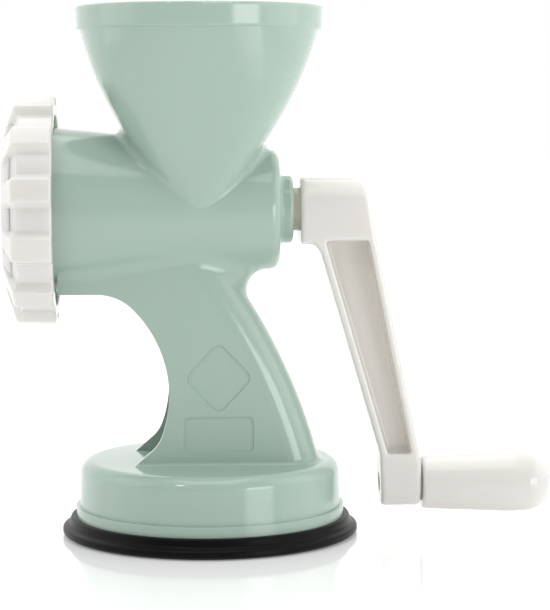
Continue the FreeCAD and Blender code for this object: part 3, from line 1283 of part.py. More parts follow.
washer_end = "hub_recess_floor_x + washer_thickness"
keep(turned("crank_washer_body", [
    ("hub_recess_floor_x", "hub_screw_radius + through_clearance"),
    ("hub_recess_floor_x", "hub_recess_radius - washer_gap"),
    (washer_end, "hub_recess_radius - washer_gap"),
    (washer_end, "hub_screw_radius + through_clearance"),
], z="axis_height"), "crank_washer")
head_top = f"{washer_end} + hub_screw_head_height"
keep(turned("crank_screw_body", [
    ("hub_recess_floor_x - hub_screw_length + pilot_spare", "0"),
    ("hub_recess_floor_x - hub_screw_length + pilot_spare", "hub_screw_radius"),
    (washer_end, "hub_screw_radius"),
    (washer_end, "hub_screw_head"),
    (f"{head_top} - hub_screw_dome", "hub_screw_head"),
    (head_top, "hub_screw_crown"),
    (head_top, "hub_screw_key_radius"),
    (f"{head_top} - hub_screw_key_depth", "hub_screw_key_radius"),
    (f"{head_top} - hub_screw_key_depth", "0"),
], z="axis_height"), "crank_screw")

# Grip with its axle

grip_start = "arm_end_x + grip_gap"
grip_end = "arm_end_x + grip_gap + grip_length"
pocket_start = "axle_head_x - axle_fit"
pocket_end = "axle_head_x + axle_head_length + snap_room"
collar_bore = "axle_collar_radius + axle_fit + collar_room"
collar_end = "arm_end_x + axle_collar_length + end_play"
keep(turned("grip_body", [
    (grip_start, collar_bore),
    (grip_start, "grip_neck_radius - grip_edge"),
    (f"{grip_start} + grip_edge", "grip_neck_radius"),
    ("grip_flank_x", "grip_flank_radius"),
    ("grip_belly_x", "grip_belly_radius"),
    ("grip_shoulder_x", "grip_shoulder_radius"),
    (f"{grip_end} - grip_dome", "grip_nose_radius"),
    (f"{grip_end} - grip_crown", "grip_nose_radius / 2"),
    (grip_end, "0"),
    (pocket_end, "0"),
    (pocket_end, "axle_head_radius + snap_gap"),
    (pocket_start, "axle_head_radius + snap_gap"),
    (pocket_start, "axle_radius + axle_fit"),
    (collar_end, "axle_radius + axle_fit"),
    (collar_end, collar_bore),
], z=grip_axis), "grip")
axle_blank = turned("axle_blank", [
    ("arm_end_x - axle_tail_length", "0"),
    ("arm_end_x - axle_tail_length", "axle_radius"),
    ("arm_end_x", "axle_radius"),
    ("arm_end_x", "axle_collar_radius"),
    ("arm_end_x + axle_collar_length", "axle_collar_radius"),
    ("arm_end_x + axle_collar_length", "axle_radius"),
    ("axle_head_x + end_play", "axle_radius"),
    ("axle_head_x + end_play", "axle_head_radius"),
    ("axle_head_x + axle_head_length", "axle_head_tip_radius"),
    ("axle_head_x + axle_head_length", "0"),
], z=grip_axis)
slit = block("slit", ("axle_head_x - axle_slit_length", "-axle_slit / 2", f"{grip_axis} - 2 * axle_radius"),
             ("axle_head_x + axle_head_length + overrun", "axle_slit / 2", f"{grip_axis} + 2 * axle_radius"))
axle_tail_x = "(arm_end_x - axle_tail_length)"
axle_tap = cylinder("axle_tap", "axle_screw_radius + seat_clearance",
                    f"axle_screw_seat_x + axle_screw_length + blind_gap + overrun - {axle_tail_x}",
                    along="X", x=f"{axle_tail_x} - overrun", z=grip_axis)
keep(cut("grip_axle_solid", axle_blank, slit, axle_tap), "grip_axle")
axle_screw_cap = cylinder("axle_screw_cap", "axle_screw_head", "axle_screw_head_height", along="X",
                          x="axle_screw_seat_x - axle_screw_head_height", z=grip_axis)
axle_screw_shank = cylinder("axle_screw_shank", "axle_screw_radius", "axle_screw_length", along="X",
                            x="axle_screw_seat_x", z=grip_axis)
keep(joined("axle_screw_solid", axle_screw_cap, axle_screw_shank), "axle_screw")

# Write every piece once all of them are sound

doc.recompute()
for item in doc.Objects:
    faults = [word for word in item.State if word in ("Invalid", "Error")]
    if faults:
        raise RuntimeError(f"{item.Name} could not be built: {item.State}")
for piece in pieces:
    if piece.Shape.isNull() or not piece.Shape.isValid() or not piece.Shape.Solids:
        raise RuntimeError(f"{piece.Label} is not a sound solid")
os.makedirs("parts", exist_ok=True)
for piece in pieces:
    piece.Shape.exportStep(f"parts/{piece.Label}.step")
    print(f"{piece.Label}: {len(piece.Shape.Solids)} solid, {piece.Shape.Volume / 1000:.2f} cm3")
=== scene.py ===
"""Looks of a hand-cranked meat grinder: moulded pastel plastic on a black suction foot."""

import json
import logging
import math
from dataclasses import dataclass
from enum import Enum
from typing import Any, Callable

import bmesh
import bpy
import numpy as np
from mathutils import Matrix, Vector


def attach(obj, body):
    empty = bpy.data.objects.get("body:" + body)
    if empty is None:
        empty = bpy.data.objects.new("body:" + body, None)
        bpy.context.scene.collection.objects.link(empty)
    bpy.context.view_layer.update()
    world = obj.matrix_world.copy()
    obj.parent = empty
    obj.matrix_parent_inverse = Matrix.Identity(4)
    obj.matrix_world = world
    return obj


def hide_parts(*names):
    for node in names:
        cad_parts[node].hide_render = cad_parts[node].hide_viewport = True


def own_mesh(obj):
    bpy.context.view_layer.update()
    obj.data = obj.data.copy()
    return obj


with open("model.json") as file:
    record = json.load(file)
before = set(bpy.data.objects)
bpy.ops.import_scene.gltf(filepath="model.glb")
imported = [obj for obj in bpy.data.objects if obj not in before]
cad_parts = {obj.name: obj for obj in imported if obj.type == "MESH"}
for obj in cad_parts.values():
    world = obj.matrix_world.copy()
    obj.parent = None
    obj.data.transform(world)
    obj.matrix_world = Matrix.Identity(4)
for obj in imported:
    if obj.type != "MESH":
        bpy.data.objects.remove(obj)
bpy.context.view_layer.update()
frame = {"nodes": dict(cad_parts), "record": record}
LOG = logging.getLogger("meat_grinder")
# Sizes and places of the grinder are in millimetres, and MM turns them into the scene's metres
MM = 0.001
FEED_HEIGHT = 145.5
GRIP_HEIGHT = 21.1
ARC_STEP = math.radians(9.0)
FEWEST_ARC_STEPS = 3
WELD_MM = 0.002
Place = tuple[float, float, float]
Outline = list[tuple[float, float]]
Faces = list[tuple[int, ...]]
Field = Callable[[np.ndarray, np.ndarray, np.ndarray], np.ndarray]


class Slot(Enum):
    """The record's material slots that the grinder's finishes belong to."""

    MINT = "mint_plastic"
    WHITE = "white_plastic"
    NYLON = "natural_nylon"
    RUBBER = "rubber"
    STEEL = "steel"


class Body(Enum):
    """The bodies that pieces ride on."""

    HOUSING = "housing"
    NUT = "nut"
    CRANK = "crank"
    GRIP = "grip"
    LEVER = "lever"


class Axis(Enum):
    """The line that a turned piece is turned round."""

    FEED = FEED_HEIGHT
    GRIP = GRIP_HEIGHT
    UPRIGHT = None


def linear(code: str) -> tuple[float, float, float, float]:
    """Turn an sRGB hex colour into opaque linear light.

    Args:
        code: A hash and six hex digits.

    Returns:
        Red, green, blue and alpha.
    """
    parts = [int(code[start:start + 2], 16) / 255 for start in (1, 3, 5)]
    light = [part / 12.92 if part <= 0.04045 else ((part + 0.055) / 1.055) ** 2.4 for part in parts]
    return light[0], light[1], light[2], 1.0


def per_metre(size_mm: float) -> float:
    """Turn a pattern's real size in millimetres into a texture scale on coordinates in metres."""
    return 1 / (size_mm * MM)


def add_node(tree: bpy.types.NodeTree, kind: str, settings: dict[str, Any] | None = None,
             inputs: dict[str | int, Any] | None = None) -> bpy.types.Node:
    """Add a node, set its properties and fill or link its inputs.

    Args:
        tree: The node tree that gets the node.
        kind: Blender's name for the node's type.
        settings: Values for the node's own properties.
        inputs: For each input socket, by name or number, a value or another node's output.

    Returns:
        The new node.
    """
    node = tree.nodes.new(kind)
    for name, setting in (settings or {}).items():
        setattr(node, name, setting)
    for key, given in (inputs or {}).items():
        if isinstance(given, bpy.types.NodeSocket):
            tree.links.new(given, node.inputs[key])
        else:
            node.inputs[key].default_value = given
    return node


def new_material(name: str) -> tuple[bpy.types.Material, bpy.types.NodeTree, bpy.types.NodeSocket]:
    """Make an empty material.

    Args:
        name: The material's name.

    Returns:
        The material, its cleared node tree and the object coordinates in it.
    """
    material = bpy.data.materials.new(name)
    material.use_nodes = True
    tree = material.node_tree
    tree.nodes.clear()
    place = add_node(tree, "ShaderNodeTexCoord").outputs["Object"]
    return material, tree, place


@dataclass(frozen=True)
class MouldedPlastic:
    """Glossy injection-moulded plastic: deep even colour, a soft skin and slight flow marks."""

    name: str
    colour: str
    drift: str
    roughness: float
    depth: float
    soak_mm: float = 1.5
    skin_mm: float = 7.0
    skin_height_mm: float = 0.006
    flow_mm: float = 60.0
    sharpest: float = 0.85
    dullest: float = 1.2
    index: float = 1.52
    soak_by_colour: tuple[float, float, float] = (1.0, 0.9, 0.8)

    def build(self) -> bpy.types.Material:
        """Make the material.

        Returns:
            The finished material.
        """
        material, tree, place = new_material(self.name)
        # Flow marks of the melt: colour and gloss drift a little over several centimetres
        flow = add_node(tree, "ShaderNodeTexNoise", {},
                        {"Vector": place, "Scale": per_metre(self.flow_mm), "Detail": 2.0})
        tint = add_node(tree, "ShaderNodeMix", {"data_type": "RGBA"},
                        {0: flow.outputs["Fac"], 6: linear(self.colour), 7: linear(self.drift)})
        gloss = add_node(tree, "ShaderNodeMapRange", {},
                         {"Value": flow.outputs["Fac"], "To Min": self.roughness * self.sharpest,
                          "To Max": self.roughness * self.dullest})
        # The mould was polished by hand, so the skin waves slightly and highlights wander with it
        skin = add_node(tree, "ShaderNodeTexNoise", {},
                        {"Vector": place, "Scale": per_metre(self.skin_mm), "Detail": 1.0})
        bump = add_node(tree, "ShaderNodeBump", {},
                        {"Height": skin.outputs["Fac"], "Distance": self.skin_height_mm * MM,
                         "Strength": 1.0})
        # Light enters the plastic and leaves it close by, which fills the hollows and softens the edges
        shader = add_node(tree, "ShaderNodeBsdfPrincipled", {},
                          {"Base Color": tint.outputs[2], "Roughness": gloss.outputs["Result"],
                           "Normal": bump.outputs["Normal"], "IOR": self.index,
                           "Subsurface Weight": self.depth, "Subsurface Radius": self.soak_by_colour,
                           "Subsurface Scale": self.soak_mm * MM})
        add_node(tree, "ShaderNodeOutputMaterial", {}, {"Surface": shader.outputs["BSDF"]})
        return material


@dataclass(frozen=True)
class FootRubber:
    """Black moulded rubber: a satin skin with a fine dusty grain."""

    name: str
    colour: str
    dust: str
    sharpest: float = 0.3
    dullest: float = 0.42
    patch_mm: float = 25.0
    grain_mm: float = 0.7
    grain_height_mm: float = 0.01
    grain_strength: float = 0.6
    index: float = 1.5
    sheen: float = 0.1

    def build(self) -> bpy.types.Material:
        """Make the material.

        Returns:
            The finished material.
        """
        material, tree, place = new_material(self.name)
        # Dust clings in patches a few centimetres wide, where the skin is greyer and duller
        patches = add_node(tree, "ShaderNodeTexNoise", {},
                           {"Vector": place, "Scale": per_metre(self.patch_mm)})
        tint = add_node(tree, "ShaderNodeMix", {"data_type": "RGBA"},
                        {0: patches.outputs["Fac"], 6: linear(self.colour), 7: linear(self.dust)})
        gloss = add_node(tree, "ShaderNodeMapRange", {},
                         {"Value": patches.outputs["Fac"], "To Min": self.sharpest, "To Max": self.dullest})
        # The mould's fine grain breaks the highlights up
        grain = add_node(tree, "ShaderNodeTexNoise", {},
                         {"Vector": place, "Scale": per_metre(self.grain_mm), "Detail": 4.0})
        bump = add_node(tree, "ShaderNodeBump", {},
                        {"Height": grain.outputs["Fac"], "Distance": self.grain_height_mm * MM,
                         "Strength": self.grain_strength})
        # Carbon black swallows nearly all light, so only a weak sheen is left
        shader = add_node(tree, "ShaderNodeBsdfPrincipled", {},
                          {"Base Color": tint.outputs[2], "Roughness": gloss.outputs["Result"],
                           "Normal": bump.outputs["Normal"], "IOR": self.index,
                           "Specular IOR Level": self.sheen})
        add_node(tree, "ShaderNodeOutputMaterial", {}, {"Surface": shader.outputs["BSDF"]})
        return material


@dataclass(frozen=True)
class GroundSteel:
    """Stainless steel, ground in fine parallel lines across the feed axis."""

    name: str
    colour: str
    roughness: float
    sharpest: float = 0.75
    dullest: float = 1.35
    line_mm: float = 0.35
    line_stretch: float = 0.04
    line_height_mm: float = 0.01
    line_strength: float = 0.6

    def build(self) -> bpy.types.Material:
        """Make the material.

        Returns:
            The finished material.
        """
        material, tree, place = new_material(self.name)
        # The lines run along Z, so the noise is stretched that way
        stretch = add_node(tree, "ShaderNodeMapping", {},
                           {"Vector": place, "Scale": (1.0, 1.0, self.line_stretch)})
        lines = add_node(tree, "ShaderNodeTexNoise", {},
                         {"Vector": stretch.outputs["Vector"], "Scale": per_metre(self.line_mm),
                          "Detail": 3.0})
        # Finer and coarser lines spread the reflection unevenly, and each line catches the light
        gloss = add_node(tree, "ShaderNodeMapRange", {},
                         {"Value": lines.outputs["Fac"], "To Min": self.roughness * self.sharpest,
                          "To Max": self.roughness * self.dullest})
        bump = add_node(tree, "ShaderNodeBump", {},
                        {"Height": lines.outputs["Fac"], "Distance": self.line_height_mm * MM,
                         "Strength": self.line_strength})
        shader = add_node(tree, "ShaderNodeBsdfPrincipled", {},
                          {"Base Color": linear(self.colour), "Metallic": 1.0,
                           "Roughness": gloss.outputs["Result"], "Normal": bump.outputs["Normal"]})
        add_node(tree, "ShaderNodeOutputMaterial", {}, {"Surface": shader.outputs["BSDF"]})
        return material


FINISHES: dict[Slot, MouldedPlastic | FootRubber | GroundSteel] = {
    Slot.MINT: MouldedPlastic("moulded_mint_abs", "#A9BEB2", "#A5BBAE", 0.13, 0.1),
    Slot.WHITE: MouldedPlastic("moulded_white_abs", "#E3E1DD", "#E1DED9", 0.14, 0.5, 7.0),
    Slot.NYLON: MouldedPlastic("natural_nylon", "#DEDACB", "#D8D3C2", 0.38, 0.3),
    Slot.RUBBER: FootRubber("black_foot_rubber", "#080808", "#0F0F10"),
    Slot.STEEL: GroundSteel("ground_stainless", "#C9C8C4", 0.24),
}
MATERIALS: dict[Slot, bpy.types.Material] = {}


# Shapes: rounded outlines, turned pieces, modelled skins and node trees

@dataclass(frozen=True)
class Corner:
    """A corner of an outline in millimetres, with the radius that rounds it."""

    along: float
    out: float
    round: float = 0.0

    @property
    def place(self) -> Vector:
        """The corner as a vector."""
        return Vector((self.along, self.out))


def rounded_outline(corners: list[Corner]) -> Outline:
    """Turn a closed outline's corners into points, with arcs and a held flat beside each arc.

    An arc takes at most a fixed share of the sides that it joins. The point that holds the flat stands
    off the arc by a share of the arc's reach.

    Args:
        corners: The outline's corners in order.

    Returns:
        The outline's points.
    """
    most, hold = 0.42, 0.12
    points: Outline = []
    for index, corner in enumerate(corners):
        here = corner.place
        before = corners[index - 1].place - here
        after = corners[(index + 1) % len(corners)].place - here
        if corner.round <= 0:
            points.append(tuple(here))
            continue
        half = before.angle(after) / 2
        reach = min(corner.round / math.tan(half), most * before.length, most * after.length)
        toward, onward = before.normalized(), after.normalized()
        centre = here + (toward + onward).normalized() * (reach / math.cos(half))
        start, end = here + toward * reach - centre, here + onward * reach - centre
        steps = max(FEWEST_ARC_STEPS, math.ceil((math.pi - 2 * half) / ARC_STEP))
        turn = start.angle_signed(end)
        arc = [centre + Matrix.Rotation(-turn * step / steps, 2) @ start for step in range(steps + 1)]
        arc_and_flats = [here + toward * reach * (1 + hold), *arc, here + onward * reach * (1 + hold)]
        points.extend(tuple(place) for place in arc_and_flats)
    return points


def turned(points: Outline, axis: Axis, steps: int) -> tuple[np.ndarray, Faces]:
    """Turn a closed outline round an axis.

    Args:
        points: Pairs of a place along the axis and a radius, in millimetres.
        axis: The axis.
        steps: The number of steps in a full turn.

    Returns:
        The vertices in millimetres and the faces.
    """
    along, out = np.array(points).T
    turn = np.arange(steps) * 2 * math.pi / steps
    cosine, sine = out[:, None] * np.cos(turn), out[:, None] * np.sin(turn)
    level = np.broadcast_to(along[:, None], cosine.shape)
    if axis is Axis.UPRIGHT:
        vertices = np.stack([cosine, sine, level], axis=-1)
    else:
        vertices = np.stack([level, cosine, sine + axis.value], axis=-1)
    rows = len(points)
    faces = [(row * steps + step, row * steps + (step + 1) % steps,
              (row + 1) % rows * steps + (step + 1) % steps, (row + 1) % rows * steps + step)
             for row in range(rows) for step in range(steps)]
    return vertices.reshape(-1, 3), faces


def close_up(mesh: bpy.types.Mesh) -> None:
    """Merge doubled points, drop loose edges and point every face outwards.

    Args:
        mesh: The mesh to mend.
    """
    work = bmesh.new()
    work.from_mesh(mesh)
    bmesh.ops.remove_doubles(work, verts=work.verts, dist=WELD_MM * MM)
    bmesh.ops.delete(work, geom=[edge for edge in work.edges if not edge.link_faces], context="EDGES")
    bmesh.ops.recalc_face_normals(work, faces=work.faces)
    work.to_mesh(mesh)
    work.free()


def new_piece(name: str, vertices: np.ndarray, faces: Faces, slot: Slot) -> bpy.types.Object:
    """Make a smooth, closed mesh object.

    Args:
        name: The piece's name.
        vertices: Its vertices in millimetres.
        faces: Its faces.
        slot: The slot whose finish it gets.

    Returns:
        The object, in the scene.
    """
    mesh = bpy.data.meshes.new(name)
    mesh.from_pydata((np.asarray(vertices) * MM).tolist(), [], faces)
    close_up(mesh)
    mesh.shade_smooth()
    mesh.materials.append(MATERIALS[slot])
    piece = bpy.data.objects.new(name, mesh)
    bpy.context.scene.collection.objects.link(piece)
    return piece


def settle(piece: bpy.types.Object, body: Body, slot: Slot, *nodes: str) -> None:
    """Let a finished piece ride its body and stand for its CAD nodes.

    Args:
        piece: The finished piece.
        body: The body that carries it.
        slot: The record's slot of its finish; not used.
        nodes: The CAD nodes that it replaces.
    """
    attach(piece, body.value)
    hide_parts(*nodes)
    LOG.info("%s: %d faces, rides %s, stands for %s", piece.name, len(piece.data.polygons), body.value,
             ", ".join(nodes))


def soft_max(first: np.ndarray, second: np.ndarray, blend: float) -> np.ndarray:
    """The larger of two distance fields, with the edge between them rounded over a width."""
    share = np.clip(0.5 + 0.5 * (first - second) / blend, 0, 1)
    return second + (first - second) * share + blend * share * (1 - share)


def polygon_field(points: Outline) -> Callable[[np.ndarray, np.ndarray], np.ndarray]:
    """Make the signed distance to a closed outline, negative inside it.

    Args:
        points: The outline's points.

    Returns:
        A function of two coordinate arrays.
    """
    def distance(across: np.ndarray, up: np.ndarray) -> np.ndarray:
        """Measure the distance at each place.

        Args:
            across: First coordinates.
            up: Second coordinates.

        Returns:
            The signed distances.
        """
        near = np.full(across.shape, np.inf)
        inside = np.zeros(across.shape, bool)
        for (start_x, start_y), (end_x, end_y) in zip(points, points[1:] + points[:1]):
            run_x, run_y = end_x - start_x, end_y - start_y
            from_x, from_y = across - start_x, up - start_y
            share = np.clip((from_x * run_x + from_y * run_y) / (run_x ** 2 + run_y ** 2), 0, 1)
            near = np.minimum(near, np.hypot(from_x - run_x * share, from_y - run_y * share))
            crossed = (start_y > up) != (end_y > up)
            inside ^= crossed & ((run_x * from_y - run_y * from_x) * (1 if run_y > 0 else -1) < 0)
        return np.where(inside, -near, near)

    return distance


def tapered_bar(across: np.ndarray, along: np.ndarray, length: float, wide: float,
                narrow: float) -> np.ndarray:
    """Measure the distance to a flat bar with two round ends of different size.

    Args:
        across: Places across the bar, from its middle line.
        along: Places along the bar, from the wide end's centre.
        length: Distance between the two centres.
        wide: Radius of the wide end.
        narrow: Radius of the narrow end.

    Returns:
        The signed distance at each place.
    """
    lean = (wide - narrow) / length
    rise = math.sqrt(1 - lean ** 2)
    side = np.abs(across)
    reach = along * rise - side * lean
    flank = side * rise + along * lean - wide
    near_end, far_end = np.hypot(side, along) - wide, np.hypot(side, along - length) - narrow
    return np.where(reach < 0, near_end, np.where(reach > rise * length, far_end, flank))


def skin_of(field: Field, low: Place, high: Place, cell: float) -> tuple[np.ndarray, Faces]:
    """Wrap a closed skin of quads round the inside of a distance field.

    Each cell that the surface crosses gets one vertex, in the middle of the crossings of its edges. The
    vertices are then drawn onto the exact surface, so the skin shades smoothly.

    Args:
        field: The signed distance in millimetres, negative inside.
        low: Lowest corner of the room to search.
        high: Highest corner of it.
        cell: Width of a cell, and so of a face.

    Returns:
        The vertices in millimetres and the faces.
    """
    lines = [np.arange(start, stop + cell, cell) for start, stop in zip(low, high)]
    depth = field(*np.meshgrid(*lines, indexing="ij"))
    solid = depth < 0
    shape = tuple(len(line) - 1 for line in lines)
    corners = [(a, b, c) for a in (0, 1) for b in (0, 1) for c in (0, 1)]

    def corner_of(values: np.ndarray, corner: tuple[int, int, int]) -> np.ndarray:
        """The value at one corner of every cell."""
        return values[tuple(slice(step, step + size) for step, size in zip(corner, shape))]

    filled = sum(corner_of(solid, corner).astype(int) for corner in corners)
    crossed = (filled > 0) & (filled < len(corners))
    number = np.full(shape, -1)
    number[crossed] = np.arange(crossed.sum())
    total, hits = np.zeros((crossed.sum(), 3)), np.zeros(crossed.sum())
    for corner in corners:
        for axis in range(3):
            if corner[axis]:
                continue
            other = tuple(step + (place == axis) for place, step in enumerate(corner))
            first, second = corner_of(depth, corner)[crossed], corner_of(depth, other)[crossed]
            split = (first < 0) != (second < 0)
            share = np.where(split, first / np.where(split, first - second, 1), 0)
            place = np.array(corner, float) + share[:, None] * np.eye(3)[axis]
            total += place * split[:, None]
            hits += split
    vertices = (np.argwhere(crossed) + total / hits[:, None]) * cell + np.array([line[0] for line in lines])

    rounds, nudge, furthest, least_steep = 3, 0.05 * cell, 0.5 * cell, 0.25
    for _ in range(rounds):
        slope = np.empty_like(vertices)
        for axis in range(3):
            ahead, behind = vertices.copy(), vertices.copy()
            ahead[:, axis] += nudge
            behind[:, axis] -= nudge
            slope[:, axis] = (field(*ahead.T) - field(*behind.T)) / (2 * nudge)
        steepness = (slope ** 2).sum(axis=1, keepdims=True)
        step = field(*vertices.T)[:, None] * slope / np.maximum(steepness, least_steep)
        vertices -= np.clip(step, -furthest, furthest)

    faces: Faces = []
    for axis in range(3):
        side, up = (axis + 1) % 3, (axis + 2) % 3
        inner = [slice(1, size) for size in shape]
        inner[axis] = slice(0, shape[axis])
        ahead = list(inner)
        ahead[axis] = slice(1, shape[axis] + 1)
        here, there = solid[tuple(inner)], solid[tuple(ahead)]
        for leaving, order in ((here & ~there, (0, 1, 2, 3)), (there & ~here, (3, 2, 1, 0))):
            spots = np.argwhere(leaving) + [int(place != axis) for place in range(3)]
            ring = []
            for back_side, back_up in ((1, 1), (0, 1), (0, 0), (1, 0)):
                cell_at = spots.copy()
                cell_at[:, side] -= back_side
                cell_at[:, up] -= back_up
                ring.append(number[tuple(cell_at.T)])
            faces.extend(zip(*(ring[step].tolist() for step in order)))
    return vertices, faces


def new_tree(name: str, sizes: dict[str, float]) -> tuple[bpy.types.NodeTree, bpy.types.Node]:
    """Make a geometry node tree with a named input for each of its sizes.

    Args:
        name: The tree's name.
        sizes: The inputs' names and default values.

    Returns:
        The tree and its input node.
    """
    tree = bpy.data.node_groups.new(name, "GeometryNodeTree")
    tree.interface.new_socket("Geometry", in_out="INPUT", socket_type="NodeSocketGeometry")
    for size, number in sizes.items():
        socket = tree.interface.new_socket(size, in_out="INPUT", socket_type="NodeSocketFloat")
        socket.default_value = number
    tree.interface.new_socket("Geometry", in_out="OUTPUT", socket_type="NodeSocketGeometry")
    return tree, add_node(tree, "NodeGroupInput")


def end_tree(tree: bpy.types.NodeTree, geometry: bpy.types.NodeSocket, slot: Slot) -> None:
    """Close a tree with real geometry in its material.

    Args:
        tree: The tree.
        geometry: The output that holds the finished shape.
        slot: The slot whose material it gets.
    """
    real = add_node(tree, "GeometryNodeRealizeInstances", {}, {"Geometry": geometry})
    dressed = add_node(tree, "GeometryNodeSetMaterial", {},
                       {"Geometry": real.outputs[0], "Material": MATERIALS[slot]})
    add_node(tree, "NodeGroupOutput", {}, {"Geometry": dressed.outputs[0]})


def run_tree(piece: bpy.types.Object, tree: bpy.types.NodeTree, sizes: dict[str, float]) -> None:
    """Run a geometry node tree on a piece and keep the result as its plain mesh.

    Args:
        piece: The piece, already in the scene.
        tree: The tree.
        sizes: Values for the tree's named inputs.
    """
    modifier = piece.modifiers.new(tree.name, "NODES")
    modifier.node_group = tree
    for item in tree.interface.items_tree:
        if item.in_out == "INPUT" and item.name in sizes:
            modifier[item.identifier] = sizes[item.name]
    graph = bpy.context.evaluated_depsgraph_get()
    mesh = bpy.data.meshes.new_from_object(piece.evaluated_get(graph))
    piece.modifiers.clear()
    mesh.name = piece.name
    close_up(mesh)
    piece.data = mesh


def arithmetic(tree: bpy.types.NodeTree, operation: str, *values: Any) -> bpy.types.NodeSocket:
    """Add one sum to a tree.

    Args:
        tree: The node tree.
        operation: The name of the sum.
        values: Its numbers, or outputs of other nodes.

    Returns:
        The result.
    """
    return add_node(tree, "ShaderNodeMath", {"operation": operation}, dict(enumerate(values))).outputs[0]


# Sub-assemblies

